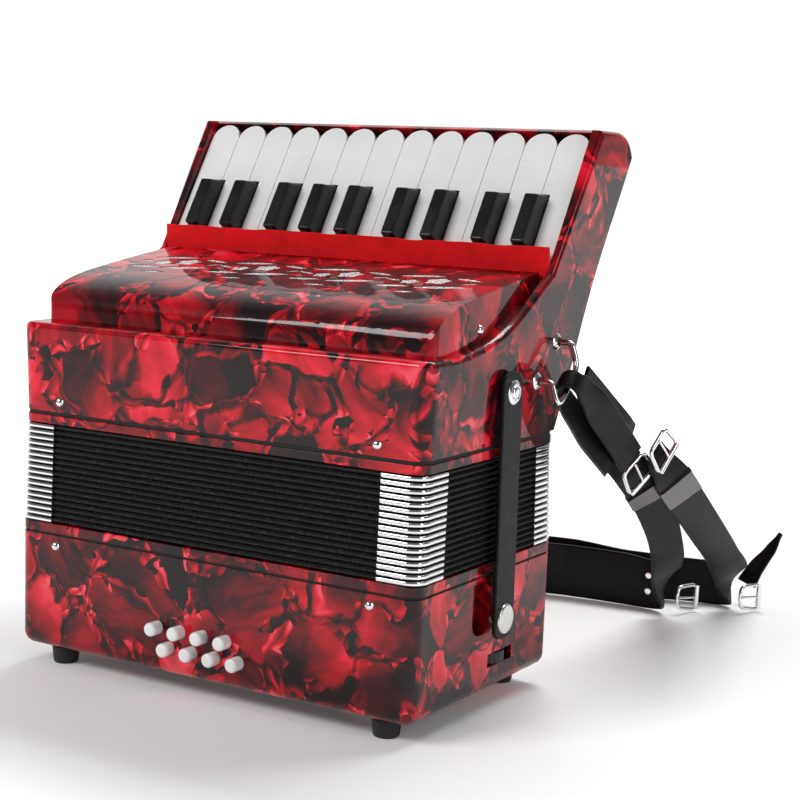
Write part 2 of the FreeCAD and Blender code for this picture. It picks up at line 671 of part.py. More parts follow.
def key_arm(place, row):
    """Lever from the hub to its pallet, under the grille."""
    x = lever_x(place)
    pallet_w, pallet_l, pallet_h = PALLET
    low = DECK_BOTTOM + pallet_h
    bend = AXLE_Y - 26
    outline = [(AXLE_Y, AXLE_Z - 2), (AXLE_Y, AXLE_Z + 2), (bend, low + 13 + ARM_THICK),
               (row - 2, low + 6 + ARM_THICK), (row - 2, low), (row + 2, low), (row + 2, low + 6),
               (bend, low + 13)]
    arm = profile_yz(outline, x - ARM_WIDTH / 2, x + ARM_WIDTH / 2)
    half = pallet_w / 2
    pallet = box((pallet_x(place) - half, pallet_x(place) + half),
                 (row - pallet_l / 2, row + pallet_l / 2), (DECK_BOTTOM, low))
    return arm, pallet


def key(index):
    """One key with its hub, lever and pallet."""
    place = key_places()[index]
    white, left, right, tail_left, tail_right = place
    tail_end = BLACK_TIP + (KEY_GAP + 1 if white else 0)
    tail = key_prism([(0, KEY_BOTTOM), (tail_end, KEY_BOTTOM), (tail_end, KEY_TOP), (0, KEY_TOP)],
                     tail_left, tail_right)
    if white:
        start = BLACK_TIP + KEY_GAP
        plate = key_prism([(start, KEY_BOTTOM), (KEY_LENGTH, KEY_BOTTOM), (KEY_LENGTH, KEY_TOP),
                           (start, KEY_TOP)], left, right)
        tips = [e for e in plate.Edges if abs(e.tangentAt(e.FirstParameter).dot(OUT)) > 0.99
                and e.BoundBox.ZMax > key_point(0, KEY_LENGTH, KEY_TOP).z - 0.1]
        body = tail.fuse(plate.makeFillet((right - left) / 2 - 0.3, tips)).removeSplitter()
    else:
        body = tail.fuse(black_cap((left + right) / 2)).removeSplitter()
    arm, pallet = key_arm(place, PALLET_ROWS[index % 2])
    hub = cylinder(HUB_R, V(tail_left, AXLE_Y, AXLE_Z), V(1, 0, 0), tail_right - tail_left)
    body = body.fuse([hub, arm]).removeSplitter()
    bore = cylinder(AXLE_R + AXLE_CLEARANCE, V(tail_left - 1, AXLE_Y, AXLE_Z), V(1, 0, 0), 40)
    return Part.makeCompound([body.cut(bore), pallet])


def black_cap(x):
    """Raised part of a black key, drawn in towards its top."""
    rows = []
    low_slope, high_slope = BLACK_SLOPES
    for v0, v1, n, width in ((BLACK_START, BLACK_TIP, KEY_TOP - 1, BLACK_WIDTH),
                             (BLACK_START + low_slope, BLACK_TIP - high_slope, KEY_TOP + BLACK_RISE,
                              BLACK_WIDTH - BLACK_TAPER)):
        half = width / 2
        rows.append([key_point(x + a * half, v, n) for a, v in ((-1, v0), (1, v0), (1, v1), (-1, v1))])
    wires = [Part.makePolygon(r + r[:1]) for r in rows]
    cap = Part.makeLoft(wires, True, True)
    base = rows[0][0].dot(OUT)
    return cap.makeFillet(BLACK_EDGE_R, [e for e in cap.Edges if e.CenterOfMass.dot(OUT) > base + 1])


def key_springs():
    """Bent wire springs that hold the keys up, one for each key."""
    springs = []
    for place in key_places():
        x = lever_x(place)
        foot = V(x, AXLE_Y - 16, DECK_BOTTOM + 0.5)
        bend = V(x, AXLE_Y - 34, DECK_BOTTOM + 8)
        top = V(x, AXLE_Y - 24, DECK_BOTTOM + PALLET[2] + 12)
        springs.append(wire_loop([foot, bend, top], 0.5))
    return Part.makeCompound(springs)


def treble_soundboard():
    """Board under the deck with a hole below every pallet."""
    board = box((-HALF_LENGTH + 8, HALF_LENGTH - 8), (FRONT + TREBLE_WALL + 2, AXLE_Y - 6),
                (DECK_BOTTOM - SOUNDBOARD_THICK, DECK_BOTTOM))
    holes = []
    for index, place in enumerate(key_places()):
        x, row = pallet_x(place), PALLET_ROWS[index % 2]
        holes.append(box((x - 4.5, x + 4.5), (row - 4.5, row + 4.5), (DECK_BOTTOM - 9, DECK_BOTTOM + 1)))
    return board.cut(holes)


def treble_reed_assembly():
    """Reeds of the treble side, hanging under the treble soundboard."""
    z = DECK_BOTTOM - SOUNDBOARD_THICK
    middle = sum(PALLET_ROWS) / 2
    return reed_assembly(KEYS_HALF - 20, middle, z - 30, z, 11, 1)


# ---------------------------------------------------------------- grille
def grille_outline(drop):
    """Upper line of the grille cover in (y, z), lowered by a wall thickness."""
    line = [(GRILLE_Y + GRILLE_DEPTH * back, GRILLE_HEIGHT * up) for back, up in GRILLE_CURVE]
    return [(y + drop * 0.9 * max(0.0, 1 - i / 2), DECK_TOP + h - drop * min(1.0, 0.45 + 0.3 * i))
            for i, (y, h) in enumerate(line)]


def grille_shell(drop, half):
    """Solid under the grille line."""
    line = grille_outline(drop)
    return profile_yz([(line[0][0], DECK_TOP - (1 if drop else 0)), line,
                       (line[-1][0], DECK_TOP - (1 if drop else 0))], -half, half)


def leaf(x, y, length, width, turn):
    """Pointed leaf opening through the cover."""
    half = length / 2
    ends = [V(-half, 0, 0), V(half, 0, 0)]
    sides = [V(half * 0.15, side * width / 2, 0) for side in (-1, 1)]
    edges = [Part.Arc(ends[0], sides[0], ends[1]).toShape(), Part.Arc(ends[1], sides[1], ends[0]).toShape()]
    cutter = Part.Face(Part.Wire(edges)).extrude(V(0, 0, 60))
    cutter.rotate(V(0, 0, 0), V(0, 0, 1), turn)
    cutter.translate(V(x, y, DECK_TOP + 10))
    return cutter


def blossom(x, y, size):
    """Round blossom opening with five soft lobes."""
    lobes = [Part.makeCylinder(size * 0.42, 60, V(x, y, DECK_TOP + 10))]
    for i in range(5):
        turn = math.radians(72 * i + 20)
        at = V(x + math.cos(turn) * size * 0.5, y + math.sin(turn) * size * 0.5, DECK_TOP + 10)
        lobes.append(Part.makeCylinder(size * 0.36, 60, at))
    return lobes[0].multiFuse(lobes[1:])


def spray_openings():
    """Leaf and blossom openings: one spray, repeated along the cover."""
    openings = []
    count = int(2 * GRILLE_HALF / SPRAY_PITCH)
    y = (GRILLE_Y + AXLE_Y) / 2
    for i in range(count):
        x = (i - (count - 1) / 2) * SPRAY_PITCH
        openings += [leaf(x - 12, y + 22, 30, 5.6, 12), leaf(x + 10, y, 32, 5.8, 14),
                     leaf(x - 16, y - 3, 24, 4.6, 8), leaf(x + 16, y + 20, 20, 4.2, -14),
                     leaf(x + 21, y + 11, 12, 3.4, 24), leaf(x - 3, y - 13, 16, 3.6, 4),
                     leaf(x - 23, y + 10, 12, 3.2, -20), blossom(x + 2, y + 13, 8.4),
                     blossom(x - 12, y + 8, 6.2)]
    return openings


def grille_cover():
    """Curved cover over the keys' levers, with leaf openings."""
    outer = grille_shell(0, GRILLE_HALF)
    upright = [e for e in outer.Edges if abs(e.tangentAt(e.FirstParameter).z) > 0.9
               and e.BoundBox.YMax < GRILLE_Y + 1]
    outer = outer.makeFillet(4.0, upright)
    inner = grille_shell(GRILLE_WALL, GRILLE_HALF - GRILLE_WALL)
    open_back = box((-GRILLE_HALF + GRILLE_WALL, GRILLE_HALF - GRILLE_WALL),
                    (GRILLE_Y + GRILLE_DEPTH * 0.686, AXLE_Y + 14), (DECK_TOP - 1, DECK_TOP + 30))
    cover = outer.cut([inner, open_back] + spray_openings())
    return cover.cut(key_prism([(-30, -14), (12, -14), (12, KEY_TOP + 0.6), (-30, KEY_TOP + 0.6)],
                               -GRILLE_HALF - 1, GRILLE_HALF + 1))


def grille_mesh():
    """Glitter cloth stretched under the openings."""
    half = GRILLE_HALF - GRILLE_WALL - 3
    sheet = grille_shell(GRILLE_WALL + 0.15, half).cut(
        grille_shell(GRILLE_WALL + 0.15 + MESH_THICK, half + 1))
    return sheet.common(box((-half, half), (GRILLE_Y + 26, AXLE_Y - 20), (DECK_TOP + 8, DECK_TOP + 60)))


def felt_strip():
    """Felt laid over the roots of the keys, behind the grille."""
    low = KEY_TOP + 0.5
    edge = BLACK_START - 0.9
    return key_prism([(5, low), (12, low), (edge, low + 7.2), (edge, low + 8.8), (11.5, low + 1.8),
                      (10.5, low + 0.5), (5, low + 0.5)], -CHEEK_INNER, CHEEK_INNER)


# ---------------------------------------------------------------- treble fittings
def boss_places():
    """Where the strap bail's two legs enter the right end plate."""
    places = []
    for back, up in BOSS_PLACES:
        z = AXLE_Z + up
        places.append(V(treble_half(z), AXLE_Y + back, z))
    return places


def treble_hardware():
    """Bellows pins, grille screws and strap bosses of the treble section."""
    pieces = bellows_pins(TREBLE_BOTTOM + FRAME_COLLAR / 2 + 1, TREBLE_HALF_DEPTH)
    pieces = [p for p in pieces if p.BoundBox.YMax < 0]
    screw = dome(2.6, 1.6, V(GRILLE_HALF, GRILLE_Y + 42.7, DECK_TOP + 10.7), V(1, 0, 0))
    pieces += [screw, mirror_x(screw)]
    for place in boss_places():
        base = place + V(TREBLE_FLARE * BOSS_R, 0, 0)
        boss = dome(BOSS_R, BOSS_LENGTH, base, V(1, 0, 0))
        boss = boss.cut(cylinder(BAIL_WIRE_R + BAIL_SWING_ROOM, place - V(5, 0, 0), V(1, 0, 0), 20))
        pieces += [boss, mirror_x(boss)]
    return Part.makeCompound(pieces)


def strap_bail():
    """Chrome bail on the right end: two legs and the bar that the straps hang on."""
    upper, lower = boss_places()
    inside = V(TREBLE_FLARE * BOSS_R + 1.9, 0, 0)
    elbow = V(BAIL_ELBOW, 0, 0)
    side = (lower - upper).normalize() * BAIL_CORNER_R
    down = V(*BAIL_DROP).normalize() * BAIL_CORNER_R
    out = V(BAIL_CORNER_R, 0, 0)
    leg = [inside, elbow - out, elbow - out * 0.3 + down * 0.3, elbow + down,
           elbow + BAIL_DROP - down * 0.5]
    route = [upper + p for p in leg] + [upper + elbow + BAIL_DROP + side * 0.6,
                                        lower + elbow + BAIL_DROP - side * 0.6]
    return wire_loop(route + [lower + p for p in reversed(leg)], BAIL_WIRE_R)


def strap_inner():
    """X of the bellows strap's inner face."""
    return treble_half(TREBLE_BOTTOM + STRAP_SCREW_ABOVE) + STRAP_STAND_OFF


def bellows_strap():
    """Leather strap with its cup screw and snap cap, on the right end."""
    top = TREBLE_BOTTOM + STRAP_SCREW_ABOVE
    snap = SNAP_Z
    inner = strap_inner()
    half = STRAP_WIDTH / 2
    strap = box((inner, inner + STRAP_THICK), (STRAP_Y - half, STRAP_Y + half),
                (snap - STRAP_OVERHANG, top + STRAP_OVERHANG))
    ends = [e for e in strap.Edges if abs(e.tangentAt(e.FirstParameter).x) > 0.99]
    strap = strap.makeFillet(6, ends)
    outer = inner + STRAP_THICK
    cup = Part.makeCone(6, 4.6, 1.4, V(outer, STRAP_Y, top), V(1, 0, 0))
    head = dome(3.4, 1.6, V(outer + 1.4, STRAP_Y, top), V(1, 0, 0))
    shank = cylinder(2, V(treble_half(top) + 0.3, STRAP_Y, top), V(1, 0, 0), STRAP_STAND_OFF + 1)
    cap = cylinder(SNAP_R, V(outer, STRAP_Y, snap), V(1, 0, 0), 1.4)
    cap = cap.makeFillet(0.8, [e for e in cap.Edges if e.BoundBox.XMin > outer + 1.3])
    return strap.fuse([cup, head, shank, cap])


def strap_routes():
    """Centre points, across directions and widths of every run of the shoulder straps."""
    bar_tab = [(150, 106, 119), (149, 90, 132), (147, 71, 148), (144.8, 55, 161.3), (143.8, 50, 164.8),
               (141.8, 47.4, 166.8), (138.3, 46.1, 166.8), (134.8, 47.2, 164.6), (133.8, 50, 162),
               (134.6, 58.5, 151.5), (139, 80, 133), (144.6, 95, 118)]
    tab_across = [(5, 12, 9)] * 3 + [(0, 14, 12)] * 7 + [(4, 12, 6)] * 2
    yield bar_tab, tab_across, [TAB_WIDTH] * 3 + [15] + [11] * 5 + [15] + [TAB_WIDTH] * 2
    yield ([(139.5, 66, 164), (142.5, 86, 149.5), (146, 101.5, 137), (147, 110, 130)], [(0, 12, 7)] * 4,
           [TAB_WIDTH] * 4)
    yield ([(140, 105, 122), (145, 119, 110), (143, 159, 82), (134, 199, 53), (124, 226, 31), (112, 246, 17),
            (84, 247, 17), (41, 241, 17.5), (-20, 222, 17.5), (-78, 180, 17.5), (-120, 130, 22),
            (-140, 88, 60), (-144, 62, 110), (-144, 52, 146)],
           [(12, 16, 4), (10, 14, 6), (15, 14, 6), (18, 9, 6), (14, 8, 12), (2, 1, 20), (0, 0, 1), (0, 0, 1),
            (0, 0, 1), (0, 0, 1), (-3, 2, 10), (-8, 10, 6), (-6, 12, 3), (-3, 12, 2)],
           [20, SHOULDER_WIDTH, SHOULDER_WIDTH, 20, 22, 30] + [PAD_WIDTH] * 4 + [SHOULDER_WIDTH] * 4)
    yield ([(156.5, 122, 121), (160, 143, 103), (155, 206, 65), (150, 247, 42), (147, 273, 24), (140, 286, 15),
            (118, 281, 14.5), (80, 268, 15.5), (41, 260, 17.5), (-20, 243, 17.5), (-84, 202, 17.5),
            (-138, 150, 24), (-160, 105, 66), (-160, 74, 116), (-158, 62, 150)],
           [(4, 13, 8), (9, 16, 4), (15, 13, 7), (16, 8, 8), (13, 8, 12), (2, 1, 20), (0, 0, 1), (0, 0, 1),
            (0, 0, 1), (0, 0, 1), (0, 0, 1), (-3, 2, 10), (-8, 10, 6), (-6, 12, 3), (-3, 12, 2)],
           [16, SHOULDER_WIDTH, SHOULDER_WIDTH, 21, 24, 28, 28, 30] + [PAD_WIDTH] * 3 + [SHOULDER_WIDTH] * 4)
    yield ([(149, 296, 14), (153, 301, 24), (160, 304, 35), (166, 306, 47)], [(-6, 4, 8)] * 4, [13, 11, 8, 3])


def shoulder_straps():
    """Both shoulder straps as they lie on the floor, with their buckles."""
    upper, lower = boss_places()
    shift = V(HALF_LENGTH, TREBLE_HALF_DEPTH, (upper.z + lower.z) / 2) - STRAPS_FITTED_AT

    def fitted(x, y, z):
        return V(x + math.copysign(shift.x * min(1, abs(x) / 100), x), y + shift.y,
                 z + shift.z * min(1, max(0, (z - 40) / 60)))

    pieces = []
    for points, across, widths in strap_routes():
        pieces.append(ribbon(smooth_stations([fitted(*p) for p in points], across, widths), LEATHER))
    buckles = [((147.5, 116.5, 111.5), (0, 19, -17), (6, 12, 9), 17, 19),
               ((158.5, 122.5, 124), (2, 20, -17), (3, 12, 9), 17, 20),
               ((124, 254, 10), (4, 10, -1), (0, 1, 10), 16, 16),
               ((155, 280, 10), (4, 10, -1), (0, 1, 10), 16, 16)]
    pieces += [buckle(fitted(*c), V(*along), V(*across), *size) for c, along, across, *size in buckles]
    return Part.makeCompound(pieces)


def buckle(centre, along, across, length, width):
    """Wire frame buckle lying on the face of a strap."""
    centre = centre + along.cross(across).normalize() * (LEATHER / 2 + BUCKLE_WIRE_R + 0.4)
    up = along.normalize() * (length / 2)
    side = across.normalize() * (width / 2)
    corners = [centre - up - side, centre + up - side, centre + up + side, centre - up + side]
    return wire_loop(corners + corners[:1], BUCKLE_WIRE_R)


# ---------------------------------------------------------------- the assembly
def all_parts():
    """Every node name with its shape."""
    yield "bass_casing", bass_casing()
    yield "bass_end_plate", bass_end_plate()
    yield "rubber_feet", rubber_feet()
    yield "bass_soundboard", bass_soundboard()
    yield "bass_reed_assembly", bass_reed_assembly()
    yield "bass_bellows_frame", bellows_frame(BASS_FRAME_Z, FOLDS_Z, True)
    yield "bass_gasket", gasket(BASS_TOP, BASS_FRAME_Z)
    yield "bass_hardware", bass_hardware()
    yield "hand_strap", hand_strap()
    yield "air_button", air_button()
    yield "strap_adjuster_wheel", strap_adjuster_wheel()
    for i, place in enumerate(button_places()):
        yield f"bass_button_{i + 1}", bass_button(place)
    yield "bellows_folds", bellows_folds()
    yield "bellows_corners", bellows_corners()
    yield "treble_bellows_frame", bellows_frame(TREBLE_FRAME_Z, TREBLE_GASKET_Z, False)
    yield "treble_gasket", gasket(TREBLE_GASKET_Z, TREBLE_BOTTOM)
    yield "treble_hardware", treble_hardware()
    yield "treble_casing", treble_casing()
    yield "key_bed", key_bed()
    yield "key_axle", key_axle()
    yield "key_springs", key_springs()
    yield "treble_soundboard", treble_soundboard()
    yield "treble_reed_assembly", treble_reed_assembly()
    yield "grille_cover", grille_cover()
    yield "grille_mesh", grille_mesh()
    yield "felt_strip", felt_strip()
    for index, place in enumerate(key_places()):
        colour = "white" if place[0] else "black"
        yield f"{colour}_key_{index + 1:02d}", key(index)
    yield "strap_bail_right", strap_bail()
    yield "strap_bail_left", mirror_x(strap_bail())
    yield "bellows_strap_right", bellows_strap()
    yield "bellows_strap_left", mirror_x(bellows_strap())
    yield "shoulder_straps", shoulder_straps()


def main():
    """Write one STEP file for each node."""
    os.makedirs("parts", exist_ok=True)
    for name, shape in all_parts():
        bad = [s for s in shape.Solids if not s.isValid() or s.Volume <= 0]
        print(f"{name}: {len(shape.Solids)} solids, {shape.Volume:.0f} mm3, bad {len(bad)}")
        shape.exportStep(f"parts/{name}.step")


main()
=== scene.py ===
"""Looks for a small piano accordion standing on its bass end, with its shoulder straps behind it."""

import json
import logging
import math
from dataclasses import dataclass
from enum import Enum

import bmesh
import bpy
from mathutils import Matrix, Vector


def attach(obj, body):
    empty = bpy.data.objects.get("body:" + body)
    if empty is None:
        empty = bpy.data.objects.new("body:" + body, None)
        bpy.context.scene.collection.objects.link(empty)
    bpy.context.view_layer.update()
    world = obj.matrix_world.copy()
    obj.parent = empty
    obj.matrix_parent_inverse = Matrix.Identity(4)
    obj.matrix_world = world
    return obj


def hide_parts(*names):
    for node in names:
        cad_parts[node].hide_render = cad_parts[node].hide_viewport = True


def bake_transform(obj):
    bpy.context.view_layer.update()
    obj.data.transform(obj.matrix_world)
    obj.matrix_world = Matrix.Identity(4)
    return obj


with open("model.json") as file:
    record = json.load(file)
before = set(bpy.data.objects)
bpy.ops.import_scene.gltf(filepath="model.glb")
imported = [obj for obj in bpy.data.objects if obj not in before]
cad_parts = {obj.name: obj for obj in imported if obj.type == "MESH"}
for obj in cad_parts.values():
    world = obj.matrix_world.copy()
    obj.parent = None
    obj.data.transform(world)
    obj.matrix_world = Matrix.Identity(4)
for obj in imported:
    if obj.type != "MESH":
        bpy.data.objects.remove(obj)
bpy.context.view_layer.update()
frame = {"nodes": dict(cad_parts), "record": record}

LOG = logging.getLogger("accordion")
MM = 0.001
CORNERS = ((1, 1), (-1, 1), (-1, -1), (1, -1))  # which way each corner lies in x and y, going round
RECAST_WELD = 0.002          # mm, points closer than this are merged
RECAST_FLAT = 0.4            # degrees, flatter joins between faces are dissolved
RECAST_CREASE = 32.0         # degrees, sharper edges are rounded
RECAST_STEPS = 3             # how finely they are rounded
CORNER_STEPS = 6             # how finely a bent wire's corners and a guard's corner turn


class Finish(Enum):
    """Every surface finish on the instrument."""

    PEARL = "red_pearl"
    WHITE_KEY = "white_key"
    BLACK_KEY = "black_key"
    CHROME = "chrome"
    NICKEL = "brushed_nickel"
    LEATHER = "strap_leather"
    SUEDE = "leather_back"
    CLOTH = "bellows_cloth"
    FELT = "red_felt"
    GASKET = "gasket_felt"
    GLITTER = "glitter_cloth"
    RUBBER = "foot_rubber"
    BLACK_PLASTIC = "black_plastic"
    KEEPER = "clear_keeper"
    WOOD = "spruce"
    REED = "reed_metal"
    STEEL = "drawn_steel"
    FLOOR = "studio_floor"


# ---------------------------------------------------------------- shader wiring
class Graph:
    """A node tree being wired, with short calls for the nodes that the finishes need."""

    def __init__(self, tree: bpy.types.NodeTree) -> None:
        """Start wiring a tree.

        Args:
            tree: the material's or group's node tree.
        """
        self.tree = tree

    def feed(self, socket: bpy.types.NodeSocket, value: object) -> None:
        """Link a socket, or set its own value.

        Args:
            socket: the input to fill.
            value: another socket, or a plain value.
        """
        if isinstance(value, bpy.types.NodeSocket):
            self.tree.links.new(value, socket)
        else:
            socket.default_value = value

    def add(self, kind: str, inputs: dict[str | int, object] | None = None,
            **settings: object) -> bpy.types.Node:
        """Add one node.

        Args:
            kind: the node's type name without its ShaderNode prefix.
            inputs: input name or number to value or socket.
            **settings: the node's own properties.

        Returns:
            The new node.
        """
        node = self.tree.nodes.new(kind if kind.startswith("NodeGroup") else "ShaderNode" + kind)
        for name, value in settings.items():
            setattr(node, name, value)
        for key, value in (inputs or {}).items():
            self.feed(node.inputs[key], value)
        return node

    def math(self, operation: str, *values: object) -> bpy.types.NodeSocket:
        """Add a Math node and return its result.

        Args:
            operation: the Math node's operation.
            *values: its inputs, as numbers or sockets.

        Returns:
            The result socket.
        """
        return self.add("Math", dict(enumerate(values)), operation=operation).outputs[0]

    def vector(self, operation: str, *values: object) -> bpy.types.NodeSocket:
        """Add a Vector Math node and return its vector."""
        return self.add("VectorMath", dict(enumerate(values)), operation=operation).outputs[0]

    def scaled(self, vector: bpy.types.NodeSocket, scale: object) -> bpy.types.NodeSocket:
        """Scale a vector by one number."""
        node = self.add("VectorMath", {0: vector}, operation="SCALE")
        self.feed(node.inputs["Scale"], scale)
        return node.outputs[0]

    def noise(self, vector: object, scale: object, detail: float = 2.0, rough: float = 0.5) -> bpy.types.Node:
        """Add a Noise texture."""
        return self.add("TexNoise", {"Vector": vector, "Scale": scale, "Detail": detail, "Roughness": rough})

    def ramp(self, factor: bpy.types.NodeSocket, stops: list[tuple[float, tuple]]) -> bpy.types.NodeSocket:
        """Add a colour ramp and return its colour.

        Args:
            factor: the socket that picks the place along the ramp.
            stops: (place, colour) pairs.

        Returns:
            The colour socket.
        """
        node = self.add("ValToRGB", {"Fac": factor})
        band = node.color_ramp
        while len(band.elements) < len(stops):
            band.elements.new(0.5)
        for element, (place, colour) in zip(band.elements, stops):
            element.position = place
            element.color = (*colour, 1.0)
        return node.outputs["Color"]

    def remap(self, value: object, low: float, high: float, out_low: float,
              out_high: float) -> bpy.types.NodeSocket:
        """Remap a value smoothly between two ranges."""
        inputs = {"Value": value, "From Min": low, "From Max": high, "To Min": out_low, "To Max": out_high}
        return self.add("MapRange", inputs, interpolation_type="SMOOTHSTEP").outputs["Result"]

    def mix(self, factor: object, a: object, b: object) -> bpy.types.NodeSocket:
        """Mix two colours."""
        node = self.add("Mix", data_type="RGBA", blend_type="MIX")
        for key, value in ((0, factor), (6, a), (7, b)):
            self.feed(node.inputs[key], value)
        return node.outputs[2]


def new_group(name: str, inputs: dict[str, float], outputs: dict[str, str]) -> tuple[Graph, dict, dict]:
    """Start a shared node group.

    Args:
        name: the group's name.
        inputs: number inputs and their usual values; a Vector input comes first by itself.
        outputs: output name to socket type, Color or Float.

    Returns:
        The graph, its input sockets and its output sockets, by name.
    """
    tree = bpy.data.node_groups.new(name, "ShaderNodeTree")
    tree.interface.new_socket("Vector", in_out="INPUT", socket_type="NodeSocketVector")
    for key, value in inputs.items():
        tree.interface.new_socket(key, in_out="INPUT", socket_type="NodeSocketFloat").default_value = value
    for key, kind in outputs.items():
        tree.interface.new_socket(key, in_out="OUTPUT", socket_type="NodeSocket" + kind)
    graph = Graph(tree)
    start = graph.add("NodeGroupInput")
    end = graph.add("NodeGroupOutput")
    return graph, dict(start.outputs.items()), dict(end.inputs.items())


def pearl_group() -> bpy.types.NodeTree:
    """Build the pearloid pattern: smooth satin facets with crumpled borders between them, with painted sheen:
    each facet and shard carries a painted brightness slope, and the streaks and brightest crumpled bits are
    painted glints over the pattern's own tones.

    Returns:
        The group, which puts out Color and Gloss.
    """
    shard_scale = 3.9
    g, given, out = new_group("pearl_pattern_and_sheen", {"Scale": 40.0, "Warp": 0.8},
                              {"Color": "Color", "Gloss": "Float"})
    place = g.scaled(given["Vector"], given["Scale"])
    drift = g.vector("SUBTRACT", g.noise(place, 0.9, 2.0, 0.5).outputs["Color"], (0.5, 0.5, 0.5))
    bent = g.vector("ADD", place, g.scaled(drift, g.math("MULTIPLY", given["Warp"], 1.5)))
    cells = g.add("TexVoronoi", {"Vector": bent, "Randomness": 1.0, "Scale": 1.0})
    parts = g.add("SeparateColor", {"Color": cells.outputs["Color"]})
    lean = g.vector("SUBTRACT", cells.outputs["Color"], (0.5, 0.5, 0.5))
    inside = g.vector("SUBTRACT", bent, cells.outputs["Position"])
    # painted sheen: brightness slopes across each facet along its own random lean, as a tilted facet catching
    # the light
    facet_sheen_slope = g.add("VectorMath", {0: inside, 1: lean}, operation="DOT_PRODUCT").outputs["Value"]
    spin = g.add("VectorRotate", {"Vector": bent, "Angle": g.math("MULTIPLY", parts.outputs[0], 6.283),
                                  "Axis": (0.4, 0.7, 0.6)})
    combed = g.vector("MULTIPLY", spin.outputs["Vector"], (1.0, 3.6, 1.4))
    # streaks in each facet: the pearloid's own striations, drawn as painted satin sheen
    streaks_and_sheen = g.math("SUBTRACT", g.noise(combed, 1.2, 3.0, 0.55).outputs["Fac"], 0.5)
    # facet tone: the facet's own random tone plus its painted sheen slope and streaks
    facet_tone_and_sheen = g.math("MULTIPLY_ADD", parts.outputs[1], 0.34, g.math("MULTIPLY_ADD", facet_sheen_slope, 1.0, 0.20))
    facet_tone_and_sheen = g.math("MULTIPLY_ADD", streaks_and_sheen, 0.75, facet_tone_and_sheen)
    shifted = g.vector("ADD", bent, g.scaled(drift, 1.6))
    shards = g.add("TexVoronoi", {"Vector": shifted, "Randomness": 1.0, "Scale": shard_scale})
    bits = g.add("SeparateColor", {"Color": shards.outputs["Color"]})
    tilt = g.vector("SUBTRACT", shards.outputs["Color"], (0.5, 0.5, 0.5))
    within = g.vector("SUBTRACT", g.scaled(shifted, shard_scale),
                      g.scaled(shards.outputs["Position"], shard_scale))
    # painted glint: brightness slopes across each small shard along its own tilt
    shard_sheen_slope = g.add("VectorMath", {0: within, 1: tilt}, operation="DOT_PRODUCT").outputs["Value"]
    shard_tone_and_glint = g.math("MULTIPLY_ADD", bits.outputs[0], 0.62, g.math("MULTIPLY_ADD", shard_sheen_slope, 1.1, 0.12))
    shard_tone_and_glint = g.math("MULTIPLY_ADD", streaks_and_sheen, 1.0, shard_tone_and_glint)
    border = g.add("TexVoronoi", {"Vector": bent, "Randomness": 1.0, "Scale": 1.0},
                   feature="DISTANCE_TO_EDGE")
    wander = g.noise(bent, 1.7, 2.0, 0.5).outputs["Fac"]
    reach = g.math("MULTIPLY_ADD", wander, 0.55, -0.17)
    edge = border.outputs["Distance"]
    near = g.math("SUBTRACT", 1.0, g.math("DIVIDE", edge, g.math("MAXIMUM", reach, 0.01)))
    mask = g.add("Clamp", {"Value": g.math("MULTIPLY", near, 3.0)}).outputs[0]
    smooth = g.math("MULTIPLY", facet_tone_and_sheen, g.math("SUBTRACT", 1.0, mask))
    tone_and_sheen = g.math("ADD", smooth, g.math("MULTIPLY", shard_tone_and_glint, mask))
    crack = g.add("Clamp", {"Value": g.math("MULTIPLY", edge, 22.0)}).outputs[0]
    tone_and_sheen = g.math("MULTIPLY", tone_and_sheen, g.math("MULTIPLY_ADD", crack, 0.45, 0.55))
    # dark maroon to bright red; the pale top of the ramp is painted sheen and glints
    colour = g.ramp(tone_and_sheen, [(0.10, (0.008, 0.0001, 0.001)), (0.27, (0.055, 0.0004, 0.003)),
                           (0.43, (0.24, 0.0006, 0.006)), (0.58, (0.52, 0.002, 0.012)),
                           (0.74, (0.80, 0.010, 0.030)), (0.94, (0.92, 0.09, 0.12))])
    g.feed(out["Color"], colour)
    g.feed(out["Gloss"], g.math("MULTIPLY_ADD", tone_and_sheen, -0.2, 0.45))
    return g.tree


def leather_group() -> bpy.types.NodeTree:
    """Build leather grain: fine cells, broad creases and a worn mask.

    Returns:
        The group, which puts out Height, Worn and Rough.
    """
    g, given, out = new_group("leather_grain", {"Scale": 900.0},
                              {"Height": "Float", "Worn": "Float", "Rough": "Float"})
    cells = g.add("TexVoronoi", {"Vector": given["Vector"], "Scale": given["Scale"], "Randomness": 0.9},
                  feature="DISTANCE_TO_EDGE")
    pores = g.remap(cells.outputs["Distance"], 0.0, 0.22, 0.0, 1.0)
    creases = g.noise(given["Vector"], 130.0, 4.0, 0.65).outputs["Fac"]
    worn = g.remap(g.noise(given["Vector"], 34.0, 5.0, 0.6).outputs["Fac"], 0.48, 0.70, 0.0, 1.0)
    g.feed(out["Height"], g.math("MULTIPLY_ADD", pores, 0.35, creases))
    g.feed(out["Worn"], worn)
    g.feed(out["Rough"], g.math("MULTIPLY_ADD", creases, 0.28, g.math("MULTIPLY", worn, 0.10)))
    return g.tree


